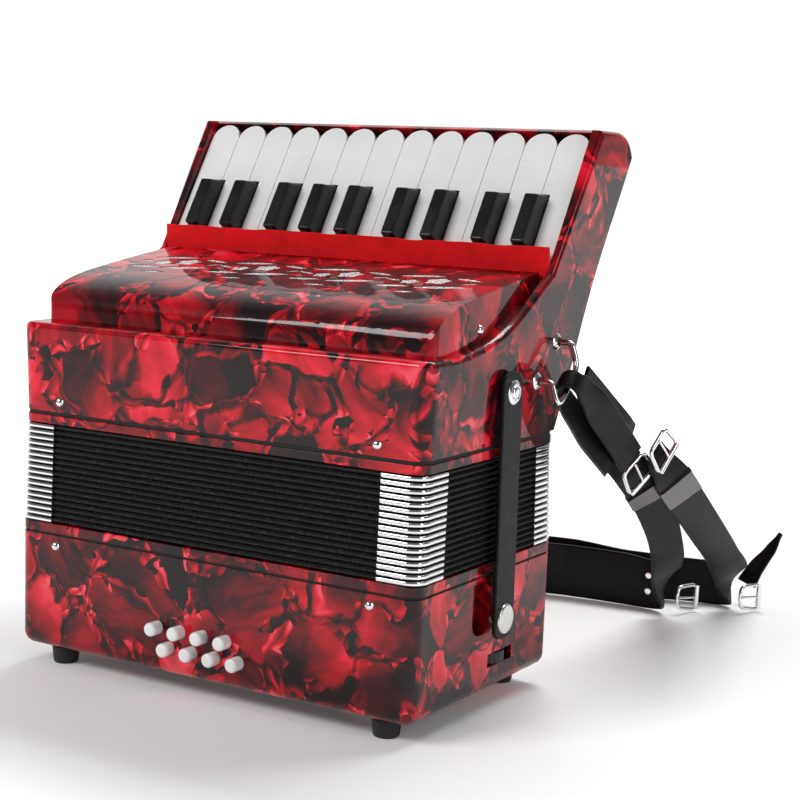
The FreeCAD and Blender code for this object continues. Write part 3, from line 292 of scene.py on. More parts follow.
def weave_group() -> bpy.types.NodeTree:
    """Build a plain weave seen from any side, with slubs.

    Returns:
        The group, which puts out Height and Fleck.
    """
    g, given, out = new_group("plain_weave", {"Scale": 1400.0, "Slub": 0.3},
                              {"Height": "Float", "Fleck": "Float"})
    wander = g.scaled(g.noise(given["Vector"], 220.0, 2.0).outputs["Color"], 0.0006)
    place = g.scaled(g.vector("ADD", given["Vector"], wander), given["Scale"])
    axes = g.add("SeparateXYZ", {0: place})
    along = g.math("SINE", g.math("ADD", axes.outputs[0], axes.outputs[1]))
    over = g.math("SINE", axes.outputs[2])
    threads = g.math("MULTIPLY", along, over)
    slub = g.noise(given["Vector"], 420.0, 3.0, 0.7).outputs["Fac"]
    g.feed(out["Height"], g.math("ADD", g.math("MULTIPLY", threads, 0.5),
                                 g.math("MULTIPLY", slub, given["Slub"])))
    g.feed(out["Fleck"], g.remap(slub, 0.50, 0.72, 0.0, 1.0))
    return g.tree


def wear_group() -> bpy.types.NodeTree:
    """Build handling marks: broad smudges and hair-fine scratches.

    Returns:
        The group, which puts out Smudge and Scratch.
    """
    g, given, out = new_group("handling_marks", {"Scale": 30.0}, {"Smudge": "Float", "Scratch": "Float"})
    smudge = g.noise(given["Vector"], given["Scale"], 4.0, 0.6).outputs["Fac"]
    hair = g.vector("MULTIPLY", given["Vector"], (60.0, 1400.0, 700.0))
    g.feed(out["Smudge"], g.remap(smudge, 0.35, 0.75, 0.0, 1.0))
    g.feed(out["Scratch"], g.noise(hair, 1.0, 3.0, 0.6).outputs["Fac"])
    return g.tree


def backdrop_way() -> tuple[float, float, float]:
    """Return the level direction from the camera to the backdrop."""
    turn = math.radians(Studio.azimuth)
    return -math.sin(turn), math.cos(turn), 0.0


@dataclass(frozen=True)
class Coating:
    """The plain values of one finish, set straight on its shader."""

    colour: tuple[float, float, float]
    roughness: float = 0.5
    metallic: float = 0.0
    coat: float = 0.0
    coat_roughness: float = 0.03
    sheen: float = 0.0
    specular: float = 0.5


COATINGS = {
    Finish.PEARL: Coating((0.4, 0.002, 0.01), 0.40, 0.0, 0.62, 0.02, specular=0.08),
    Finish.WHITE_KEY: Coating((0.93, 0.93, 0.925), 0.16, coat=0.5),
    Finish.BLACK_KEY: Coating((0.006, 0.006, 0.0065), 0.24, coat=0.3, coat_roughness=0.08, specular=0.2),
    Finish.CHROME: Coating((0.86, 0.86, 0.87), 0.09, 1.0),
    Finish.NICKEL: Coating((0.70, 0.69, 0.66), 0.24, 1.0),
    Finish.LEATHER: Coating((0.005, 0.005, 0.0055), 0.36, specular=0.16),
    Finish.SUEDE: Coating((0.045, 0.038, 0.033), 0.85, sheen=0.3),
    Finish.CLOTH: Coating((0.010, 0.0105, 0.010), 0.62, specular=0.25),
    Finish.FELT: Coating((0.86, 0.004, 0.008), 0.95, sheen=0.2, specular=0.1),
    Finish.GASKET: Coating((0.012, 0.012, 0.012), 0.8),
    Finish.GLITTER: Coating((0.82, 0.83, 0.85), 0.3, 0.55),
    Finish.RUBBER: Coating((0.012, 0.012, 0.012), 0.6),
    Finish.BLACK_PLASTIC: Coating((0.015, 0.015, 0.016), 0.4),
    Finish.KEEPER: Coating((0.07, 0.06, 0.058), 0.14, coat=0.8),
    Finish.WOOD: Coating((0.55, 0.38, 0.2), 0.6),
    Finish.REED: Coating((0.7, 0.7, 0.7), 0.3, 1.0),
    Finish.STEEL: Coating((0.55, 0.55, 0.56), 0.28, 1.0),
    Finish.FLOOR: Coating((0.93, 0.93, 0.93), 0.9),
}


class FinishShop:
    """Makes each finish's material once, from its plain values and the shared groups."""

    def __init__(self) -> None:
        """Build the shared groups."""
        self.groups = {"pearl": pearl_group(), "leather": leather_group(), "weave": weave_group(),
                       "wear": wear_group()}
        self.made: dict[Finish, bpy.types.Material] = {}

    def get(self, finish: Finish) -> bpy.types.Material:
        """Return the finish's material, made on first use."""
        if finish not in self.made:
            self.made[finish] = self.make(finish)
        return self.made[finish]

    def make(self, finish: Finish) -> bpy.types.Material:
        """Make one material.

        Args:
            finish: which finish.

        Returns:
            The material with its pattern wired in.
        """
        values = COATINGS[finish]
        material = bpy.data.materials.new(finish.value)
        material.use_nodes = True
        material.diffuse_color = (*values.colour, 1.0)
        shader = material.node_tree.nodes["Principled BSDF"]
        plain = {"Base Color": (*values.colour, 1.0), "Roughness": values.roughness,
                 "Metallic": values.metallic, "Coat Weight": values.coat,
                 "Coat Roughness": values.coat_roughness,
                 "Sheen Weight": values.sheen, "Specular IOR Level": values.specular}
        for name, value in plain.items():
            shader.inputs[name].default_value = value
        graph = Graph(material.node_tree)
        place = graph.add("TexCoord").outputs["Object"]
        pattern = {Finish.PEARL: self.pearl, Finish.LEATHER: self.leather, Finish.SUEDE: self.leather,
                   Finish.CLOTH: self.woven, Finish.FELT: self.felted, Finish.GASKET: self.felted,
                   Finish.GLITTER: self.glitter, Finish.WOOD: self.wood, Finish.CHROME: self.metal,
                   Finish.NICKEL: self.metal, Finish.STEEL: self.metal, Finish.REED: self.metal,
                   Finish.FLOOR: self.floor}.get(finish, self.moulded)
        pattern(graph, place, shader, values)
        return material

    def group(self, graph: Graph, name: str, place: object, **values: float) -> bpy.types.Node:
        """Place a shared group with its own values."""
        node = graph.add("Group", node_tree=self.groups[name])
        graph.feed(node.inputs["Vector"], place)
        for key, value in values.items():
            node.inputs[key].default_value = value
        return node

    def bump(self, graph: Graph, shader: bpy.types.Node, height: object, strength: float,
             distance: float) -> None:
        """Wire a height into the shader's normal."""
        node = graph.add("Bump", {"Strength": strength, "Distance": distance, "Height": height})
        graph.feed(shader.inputs["Normal"], node.outputs["Normal"])

    def pearl(self, graph: Graph, place: object, shader: bpy.types.Node, values: Coating) -> None:
        """Red pearloid sheet under clear lacquer, its satin sheen and glints painted into the colour."""
        pattern = self.group(graph, "pearl", place, Scale=27.0, Warp=0.62)
        graph.feed(shader.inputs["Base Color"], pattern.outputs["Color"])
        graph.feed(shader.inputs["Roughness"], pattern.outputs["Gloss"])

    def leather(self, graph: Graph, place: object, shader: bpy.types.Node, values: Coating) -> None:
        """Grained leather, rubbed paler in places."""
        grain = self.group(graph, "leather", place, Scale=1100.0)
        base = (*values.colour, 1.0)
        pale = (*[min(1.0, c * 2.1 + 0.006) for c in values.colour], 1.0)
        graph.feed(shader.inputs["Base Color"], graph.mix(grain.outputs["Worn"], base, pale))
        rough = graph.math("ADD", grain.outputs["Rough"], values.roughness - 0.14)
        graph.feed(shader.inputs["Roughness"], rough)
        self.bump(graph, shader, grain.outputs["Height"], 0.32, 0.0004)

    def woven(self, graph: Graph, place: object, shader: bpy.types.Node, values: Coating) -> None:
        """Bookbinder's cloth with a coarse weave and worn threads."""
        weave = self.group(graph, "weave", place, Scale=2600.0, Slub=0.55)
        base = (*values.colour, 1.0)
        worn = (0.035, 0.035, 0.037, 1.0)
        graph.feed(shader.inputs["Base Color"], graph.mix(weave.outputs["Fleck"], base, worn))
        self.bump(graph, shader, weave.outputs["Height"], 0.6, 0.0005)

    def felted(self, graph: Graph, place: object, shader: bpy.types.Node, values: Coating) -> None:
        """Felt: matted fibres and soft mottling."""
        drawn = graph.vector("MULTIPLY", place, (1.0, 2.2, 1.6))
        fibres = graph.noise(drawn, 1500.0, 4.0, 0.75).outputs["Fac"]
        mottle = graph.noise(place, 60.0, 3.0, 0.6).outputs["Fac"]
        dark = (*[c * 0.62 for c in values.colour], 1.0)
        shade = graph.math("MULTIPLY_ADD", fibres, 0.5, graph.math("MULTIPLY", mottle, 0.5))
        graph.feed(shader.inputs["Base Color"], graph.mix(graph.remap(shade, 0.3, 0.62, 0.0, 1.0), dark,
                                                          (*values.colour, 1.0)))
        self.bump(graph, shader, fibres, 0.5, 0.0006)

    def glitter(self, graph: Graph, place: object, shader: bpy.types.Node, values: Coating) -> None:
        """Silver glitter cloth: flakes that each tilt their own way."""
        flakes = graph.add("TexVoronoi", {"Vector": place, "Scale": 1500.0, "Randomness": 1.0})
        parts = graph.add("SeparateColor", {"Color": flakes.outputs["Color"]})
        colour = graph.ramp(parts.outputs[0], [(0.0, (0.30, 0.31, 0.33)), (0.45, (0.66, 0.67, 0.69)),
                                               (1.0, (0.97, 0.97, 0.98))])
        graph.feed(shader.inputs["Base Color"], colour)
        graph.feed(shader.inputs["Roughness"], graph.remap(parts.outputs[1], 0.0, 1.0, 0.18, 0.6))
        self.bump(graph, shader, parts.outputs[2], 0.9, 0.0006)

    def wood(self, graph: Graph, place: object, shader: bpy.types.Node, values: Coating) -> None:
        """Straight-grained spruce."""
        rings = graph.noise(graph.vector("MULTIPLY", place, (6.0, 260.0, 90.0)), 1.0, 4.0, 0.6).outputs["Fac"]
        colour = graph.ramp(rings, [(0.3, (0.62, 0.43, 0.23)), (0.6, (0.40, 0.24, 0.11))])
        graph.feed(shader.inputs["Base Color"], colour)
        self.bump(graph, shader, rings, 0.2, 0.0003)

    def metal(self, graph: Graph, place: object, shader: bpy.types.Node, values: Coating) -> None:
        """Plated or drawn metal with smudges and fine scratches."""
        wear = self.group(graph, "wear", place, Scale=160.0)
        rough = graph.math("MULTIPLY_ADD", wear.outputs["Smudge"], 0.10, values.roughness)
        graph.feed(shader.inputs["Roughness"], rough)
        self.bump(graph, shader, wear.outputs["Scratch"], 0.04, 0.0002)

    def moulded(self, graph: Graph, place: object, shader: bpy.types.Node, values: Coating) -> None:
        """Moulded plastic or rubber: faint mottling, smudges and a little orange peel."""
        wear = self.group(graph, "wear", place, Scale=45.0)
        base = (*values.colour, 1.0)
        tint = (*[c * 0.93 for c in values.colour], 1.0)
        graph.feed(shader.inputs["Base Color"], graph.mix(wear.outputs["Smudge"], base, tint))
        rough = graph.math("MULTIPLY_ADD", wear.outputs["Smudge"], 0.12, values.roughness)
        graph.feed(shader.inputs["Roughness"], rough)
        self.bump(graph, shader, wear.outputs["Scratch"], 0.03, 0.0002)

    def floor(self, graph: Graph, place: object, shader: bpy.types.Node, values: Coating) -> None:
        """White sweep that brightens behind the instrument until it meets the backdrop."""
        behind = graph.add("VectorMath", {0: place, 1: backdrop_way()}, operation="DOT_PRODUCT")
        away = behind.outputs["Value"]
        mottle = graph.noise(place, 3.0, 2.0, 0.5).outputs["Fac"]
        glow = graph.remap(graph.math("MULTIPLY_ADD", mottle, 0.04, away), 0.15, 1.5, 0.06, 1.0)
        graph.feed(shader.inputs["Emission Strength"], glow)
        shader.inputs["Emission Color"].default_value = (1.0, 1.0, 1.0, 1.0)
        rough = graph.math("MULTIPLY_ADD", mottle, 0.1, values.roughness - 0.1)
        graph.feed(shader.inputs["Roughness"], rough)


# ---------------------------------------------------------------- making and placing pieces
class Bench:
    """Puts finished pieces on the instrument."""

    def __init__(self, shop: FinishShop) -> None:
        """Keep the finish shop and the CAD nodes.

        Args:
            shop: where materials come from.
        """
        self.shop = shop
        self.nodes: dict[str, bpy.types.Object] = frame["nodes"]
        self.slots = {s["node"]: s["material_slot"] for s in frame["record"]["subparts"]}
        self.bodies = {n: b for b, ns in frame["record"]["behaviour"]["bodies"].items() for n in ns}

    def box(self, node: str) -> tuple[Vector, Vector]:
        """Return a CAD node's low and high corners in mm."""
        points = [v.co / MM for v in self.nodes[node].data.vertices]
        return (Vector([min(p[i] for p in points) for i in range(3)]),
                Vector([max(p[i] for p in points) for i in range(3)]))

    def place(self, piece: bpy.types.Object, finish: Finish, node: str, replace: bool = False,
              span: tuple[Vector, Vector] | None = None) -> bpy.types.Object:
        """Dress a piece and fix it to the body that a CAD node is on; a piece given a span is left unfixed,
        with its placement baked into its mesh.

        Args:
            piece: the finished object.
            finish: its surface.
            node: the CAD node whose body it takes.
            replace: whether it stands for that node.
            span: where it starts and ends bending between the two sections, in metres, if it bends; only
                whether one is given is read.

        Returns:
            The same object.
        """
        piece.data.materials.clear()
        piece.data.materials.append(self.shop.get(finish))
        if span:
            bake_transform(piece)
        else:
            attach(piece, self.bodies[node])
        if replace:
            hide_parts(node)
        LOG.info("%s in %s on %s", piece.name, finish.value, self.bodies[node])
        return piece

    def paint(self, node: str, finish: Finish) -> None:
        """Give a CAD node that stays a better material."""
        target = self.nodes[node]
        for slot in target.material_slots:
            slot.link = "OBJECT"
            slot.material = self.shop.get(finish)

    def recast(self, node: str, finish: Finish, edge: float, name: str | None = None) -> bpy.types.Object:
        """Replace a CAD node by a merged copy with its edges broken.

        Args:
            node: the CAD node.
            finish: its surface.
            edge: how far the edges are rounded, in mm.
            name: the new piece's name.

        Returns:
            The new piece.
        """
        bm = bmesh.new()
        bm.from_mesh(self.nodes[node].data)
        bmesh.ops.remove_doubles(bm, verts=bm.verts, dist=RECAST_WELD * MM)
        bmesh.ops.dissolve_limit(bm, angle_limit=math.radians(RECAST_FLAT), verts=bm.verts, edges=bm.edges,
                                 delimit={"NORMAL"})
        if edge > 0:
            crease = math.radians(RECAST_CREASE)
            sharp = [e for e in bm.edges if e.is_manifold and e.calc_face_angle(0.0) > crease]
            bmesh.ops.bevel(bm, geom=sharp, offset=edge * MM, offset_type="OFFSET", segments=RECAST_STEPS,
                            profile=0.5, affect="EDGES", material=-1, clamp_overlap=True)
        piece = solid_object(name or node + "_shell", bm)
        return self.place(piece, finish, node, replace=True)


def solid_object(name: str, bm: bmesh.types.BMesh, smooth: float = 40.0) -> bpy.types.Object:
    """Turn a bmesh into an object at the origin with smooth shading.

    Args:
        name: the piece's name.
        bm: the mesh, which is freed.
        smooth: edges sharper than this, in degrees, stay crisp.

    Returns:
        The object.
    """
    mesh = bpy.data.meshes.new(name)
    bm.to_mesh(mesh)
    bm.free()
    for polygon in mesh.polygons:
        polygon.use_smooth = True
    mesh.set_sharp_from_angle(angle=math.radians(smooth))
    piece = bpy.data.objects.new(name, mesh)
    bpy.context.scene.collection.objects.link(piece)
    weigh = piece.modifiers.new("even_normals", "WEIGHTED_NORMAL")
    weigh.keep_sharp = True
    return piece


def join_pieces(name: str, pieces: list[bpy.types.Object]) -> bpy.types.Object:
    """Join several new objects into one mesh.

    Args:
        name: the joined piece's name.
        pieces: the objects, which are removed.

    Returns:
        The joined object.
    """
    bm = bmesh.new()
    for piece in pieces:
        bm.from_mesh(piece.data)
        mesh = piece.data
        bpy.data.objects.remove(piece)
        bpy.data.meshes.remove(mesh)
    return solid_object(name, bm)


def loft(rings: list[list[Vector]], bm: bmesh.types.BMesh | None = None,
         cap: bool = False) -> bmesh.types.BMesh:
    """Skin a row of equal closed rings.

    Args:
        rings: the rings' points in mm.
        bm: a mesh to add to, or None for a new one.
        cap: whether the first and last rings are filled.

    Returns:
        The mesh.
    """
    bm = bm or bmesh.new()
    rows = [[bm.verts.new(p * MM) for p in ring] for ring in rings]
    faces = []
    for a, b in zip(rows, rows[1:]):
        for i in range(len(a)):
            j = (i + 1) % len(a)
            faces.append(bm.faces.new((a[i], a[j], b[j], b[i])))
    if cap:
        faces.append(bm.faces.new(rows[0]))
        faces.append(bm.faces.new(rows[-1]))
    bmesh.ops.recalc_face_normals(bm, faces=faces)
    return bm


def add_disc(bm: bmesh.types.BMesh, rings: list[tuple[float, float]], at: Vector, axis: Vector,
             sides: int = 32) -> None:
    """Turn a stack of rings into a closed round solid.

    Args:
        bm: the mesh to add to.
        rings: (radius, height) pairs in mm from the base to the top.
        at: where the base's middle is, in mm.
        axis: which way it stands.
        sides: how many sides it has.
    """
    turn = Matrix.Translation(at) @ axis.to_track_quat("Z", "Y").to_matrix().to_4x4()
    circles = [[turn @ Vector((r * math.cos(math.tau * i / sides), r * math.sin(math.tau * i / sides), h))
                for i in range(sides)] for r, h in rings]
    loft(circles, bm=bm, cap=True)


def smooth_route(points: list[tuple], across: list[tuple], widths: list[float],
                 per_span: int = 7) -> list[tuple[Vector, Vector, float]]:
    """Even curve through points, turning and widening evenly.

    Args:
        points: centre points in mm.
        across: the way the strap is wide at each.
        widths: the width at each, in mm.
        per_span: how many stations each span gets.

    Returns:
        (centre, across, width) stations.
    """
    path = [Vector(p) for p in points]
    sides = [Vector(a).normalized() for a in across]
    path = [path[0] * 2 - path[1]] + path + [path[-1] * 2 - path[-2]]
    stations = []
    last = len(points) - 2
    for i in range(len(points) - 1):
        p0, p1, p2, p3 = path[i:i + 4]
        reach = (p2 - p1).length
        m1 = (p2 - p0) * (reach / max(1e-6, (p2 - p1).length + (p1 - p0).length))
        m2 = (p3 - p1) * (reach / max(1e-6, (p3 - p2).length + (p2 - p1).length))
        for step in range(per_span + (i == last)):
            t = step / per_span
            centre = (p1 * (2 * t ** 3 - 3 * t ** 2 + 1) + m1 * (t ** 3 - 2 * t ** 2 + t)
                      + p2 * (3 * t ** 2 - 2 * t ** 3) + m2 * (t ** 3 - t ** 2))
            soft = t * t * (3 - 2 * t)
            width = widths[i] + (widths[i + 1] - widths[i]) * soft
            stations.append((centre, sides[i].lerp(sides[i + 1], soft), width))
    return stations


def ribbon(name: str, stations: list[tuple[Vector, Vector, float]], thick: float) -> bpy.types.Object:
    """Leather strip with rounded edges and a slightly cushioned face.

    Args:
        name: the piece's name.
        stations: (centre, across, width) in mm.
        thick: its thickness in mm.

    Returns:
        The strip.
    """
    rings = []
    half = thick / 2
    for i, (centre, across, width) in enumerate(stations):
        ahead = stations[min(i + 1, len(stations) - 1)][0] - stations[max(i - 1, 0)][0]
        side = (across - ahead * (across.dot(ahead) / ahead.dot(ahead))).normalized()
        up = ahead.cross(side).normalized()
        edge = width / 2
        brink = [(0.12, 0.55), (0.6, 0.92), (1.6, 0.88), (2.2, 0.97)]
        profile = [(-edge, 0.0)] + [(-edge + x, y * half) for x, y in brink] + [(0.0, half)]
        profile += [(edge - x, y * half) for x, y in reversed(brink)] + [(edge, 0.0)]
        profile += [(x, -y) for x, y in reversed(profile[1:-1])]
        rings.append([centre + side * x + up * y for x, y in profile])
    return solid_object(name, loft(rings, cap=True), 60.0)


def tube(name: str, points: list[Vector], radius: float, closed: bool = False, round_by: float = 0.0,
         sides: int = 10) -> bpy.types.Object:
    """Round wire along straight runs with rounded corners.

    Args:
        name: the piece's name.
        points: the corners of its route.
        radius: the wire's radius.
        closed: whether it is a closed frame.
        round_by: the radius of its corners.
        sides: how round the wire is.

    Returns:
        The wire as a mesh object.
    """
    route: list[Vector] = []
    count = len(points)
    for i, point in enumerate(points):
        if not closed and i in (0, count - 1):
            route.append(point)
            continue
        before = points[i - 1] - point
        after = points[(i + 1) % count] - point
        cut = min(round_by, before.length * 0.45, after.length * 0.45)
        a = point + before.normalized() * cut
        b = point + after.normalized() * cut
        for step in range(CORNER_STEPS + 1):
            t = step / CORNER_STEPS
            route.append(a * (1 - t) ** 2 + point * 2 * t * (1 - t) + b * t ** 2)
    curve = bpy.data.curves.new(name, "CURVE")
    curve.dimensions = "3D"
    curve.bevel_depth = radius
    curve.bevel_resolution = sides // 2 - 1
    curve.use_fill_caps = True
    spline = curve.splines.new("POLY")
    spline.points.add(len(route) - 1)
    for target, place in zip(spline.points, route):
        target.co = (*place, 1.0)
    spline.use_cyclic_u = closed
    holder = bpy.data.objects.new(name, curve)
    bpy.context.scene.collection.objects.link(holder)
    mesh = bpy.data.meshes.new_from_object(holder.evaluated_get(bpy.context.evaluated_depsgraph_get()))
    bpy.data.objects.remove(holder)
    bpy.data.curves.remove(curve)
    bm = bmesh.new()
    bm.from_mesh(mesh)
    bpy.data.meshes.remove(mesh)
    bmesh.ops.remove_doubles(bm, verts=bm.verts, dist=0.001 * MM)
    bmesh.ops.recalc_face_normals(bm, faces=bm.faces)
    return solid_object(name, bm)


# ---------------------------------------------------------------- sub-assemblies
@dataclass
class Casings:
    """The pearloid shells, frames and gaskets."""

    casing_edge: float = 0.5
    frame_edge: float = 0.9
    grille_edge: float = 0.35
    cloth_lift: float = 2.45

    def build(self, bench: Bench) -> None:
        """Recast the shells with broken edges.

        Args:
            bench: where pieces are placed.
        """
        bench.recast("treble_casing", Finish.PEARL, self.casing_edge)
        bench.recast("bass_casing", Finish.PEARL, self.casing_edge)
        bench.recast("grille_cover", Finish.PEARL, self.grille_edge)
        bench.recast("treble_bellows_frame", Finish.PEARL, self.frame_edge)
        bench.recast("bass_bellows_frame", Finish.PEARL, self.frame_edge)
        bench.recast("treble_gasket", Finish.GASKET, 0.3)
        bench.recast("bass_gasket", Finish.GASKET, 0.2)
        bench.recast("bass_end_plate", Finish.BLACK_PLASTIC, 0.4)
        bench.recast("rubber_feet", Finish.RUBBER, 1.2)
        cloth = bench.recast("grille_mesh", Finish.GLITTER, 0.0)
        cloth.data.transform(Matrix.Translation((0, 0, self.cloth_lift * MM)))


@dataclass
class Keyboard:
    """The 22 keys and what they turn and rest on."""

    white_edge: float = 0.8
    black_edge: float = 1.1

    def build(self, bench: Bench) -> None:
        """Recast each key and dress the inner pieces.

        Args:
            bench: where pieces are placed.
        """
        for node in sorted(n for n in bench.nodes if "_key_" in n):
            white = node.startswith("white")
            finish = Finish.WHITE_KEY if white else Finish.BLACK_KEY
            bench.recast(node, finish, self.white_edge if white else self.black_edge, node + "_top")
        inner = {"key_bed": Finish.WOOD, "key_axle": Finish.STEEL, "key_springs": Finish.STEEL,
                 "treble_soundboard": Finish.WOOD, "bass_soundboard": Finish.WOOD,
                 "treble_reed_assembly": Finish.REED, "bass_reed_assembly": Finish.REED}
        for node, finish in inner.items():
            bench.paint(node, finish)


@dataclass
class BassControls:
    """Bass buttons, air button and the hand strap's wheel."""

    def build(self, bench: Bench) -> None:
        """Recast the controls.

        Args:
            bench: where pieces are placed.
        """
        for node in sorted(n for n in bench.nodes if n.startswith("bass_button_")):
            bench.recast(node, Finish.WHITE_KEY, 0.0, node + "_cap")
        bench.recast("air_button", Finish.WHITE_KEY, 0.0)
        bench.recast("strap_adjuster_wheel", Finish.BLACK_PLASTIC, 0.2)


@dataclass
class Bellows:
    """Seventeen cloth folds with metal guards on their corners."""

    folds: int = 17
    corner: float = 7.5
    valley: float = 2.4
    leg: float = 14.0
    taper: float = 1.8
    guard_height: float = 2.1
    guard_out: float = 0.5
    spread: float = 1.0

    def outline(self, half_x: float, half_y: float, radius: float,
                steps: int = 7) -> list[tuple[float, float]]:
        """Rounded rectangle, going round once.

        Args:
            half_x: half its length.
            half_y: half its depth.
            radius: its corner radius.
            steps: points on each corner.

        Returns:
            Its (x, y) points in mm.
        """
        points = []
        for corner, (i, j) in enumerate(CORNERS):
            for step in range(steps + 1):
                turn = math.radians(90 * corner + 90 * step / steps)
                points.append((i * (half_x - radius) + radius * math.cos(turn),
                               j * (half_y - radius) + radius * math.sin(turn)))
        return points

    def build(self, bench: Bench) -> None:
        """Fold the cloth and set the guards.

        Args:
            bench: where pieces are placed.
        """
        low, high = bench.box("bellows_folds")
        half_x, half_y = high.x, high.y
        start, end = Vector((0, 0, low.z)) * MM, Vector((0, 0, high.z)) * MM
        pitch = (high.z - low.z) / self.folds
        rows = []
        pleat = ((0.0, self.valley), (0.22, 0.9), (0.38, 0.15), (0.62, 0.15), (0.78, 0.9))
        for fold in range(self.folds):
            for share, inset in pleat:
                z = low.z + pitch * (fold + share)
                depth = half_y - self.taper * (z - low.z) / (high.z - low.z)
                rows.append((z, self.outline(half_x - inset, depth - inset, self.corner)))
        last = self.outline(half_x - self.valley, half_y - self.taper - self.valley, self.corner)
        rows.append((high.z, last))
        rings = [[Vector((x, y, z)) for x, y in ring] for z, ring in rows]
        cloth = solid_object("bellows_cloth", loft(rings))
        bench.place(cloth, Finish.CLOTH, "bellows_folds", replace=True, span=(start, end))
        for fold in range(self.folds):
            z = low.z + pitch * (fold + 0.5)
            share = (z - low.z) / (high.z - low.z)
            depth = half_y - self.taper * share
            guard = self.guards(f"corner_guards_{fold + 1:02d}", half_x, depth, z)
            # a span for a bend this long, which would move each guard nearly stiffly, as far as the cloth
            # beside it; only its presence is read
            base = Vector((0, 0, z * MM - share * self.spread))
            bench.place(guard, Finish.CHROME, "bellows_corners", replace=True,
                        span=(base, base + Vector((0, 0, self.spread))))

    def guards(self, name: str, half_x: float, half_y: float, z: float) -> bpy.types.Object:
        """Four half-round corner guards at one fold.

        Args:
            name: the piece's name.
            half_x: the bellows' half length.
            half_y: its half depth at this fold.
            z: the fold's middle height.

        Returns:
            The four guards as one piece.
        """
        bm = bmesh.new()
        half = self.guard_height / 2
        section = []
        for t in (-90, -60, -30, 0, 30, 60, 90):
            turn = math.radians(t)
            section.append((0.55 * math.cos(turn) ** 0.7 if abs(t) < 90 else 0.0, half * math.sin(turn)))
        section += [(-0.5, half * 0.9), (-0.5, -half * 0.9)]
        radius = self.corner + 0.6
        for i, j in CORNERS:
            route = []
            for along in (self.leg, self.leg * 0.5, 1.0):
                route.append((half_x + self.guard_out, half_y - radius - along, 1.0, 0.0))
            for step in range(CORNER_STEPS + 1):
                turn = math.radians(90 * step / CORNER_STEPS)
                route.append((half_x + self.guard_out - radius + radius * math.cos(turn),
                              half_y + self.guard_out - radius + radius * math.sin(turn),
                              math.cos(turn), math.sin(turn)))
            for along in (1.0, self.leg * 0.5, self.leg):
                route.append((half_x - radius - along, half_y + self.guard_out, 0.0, 1.0))
            rings = [[Vector((i * (x + nx * out), j * (y + ny * out), z + up)) for out, up in section]
                     for x, y, nx, ny in route]
            loft(rings, bm=bm, cap=True)
        return solid_object(name, bm, 50.0)


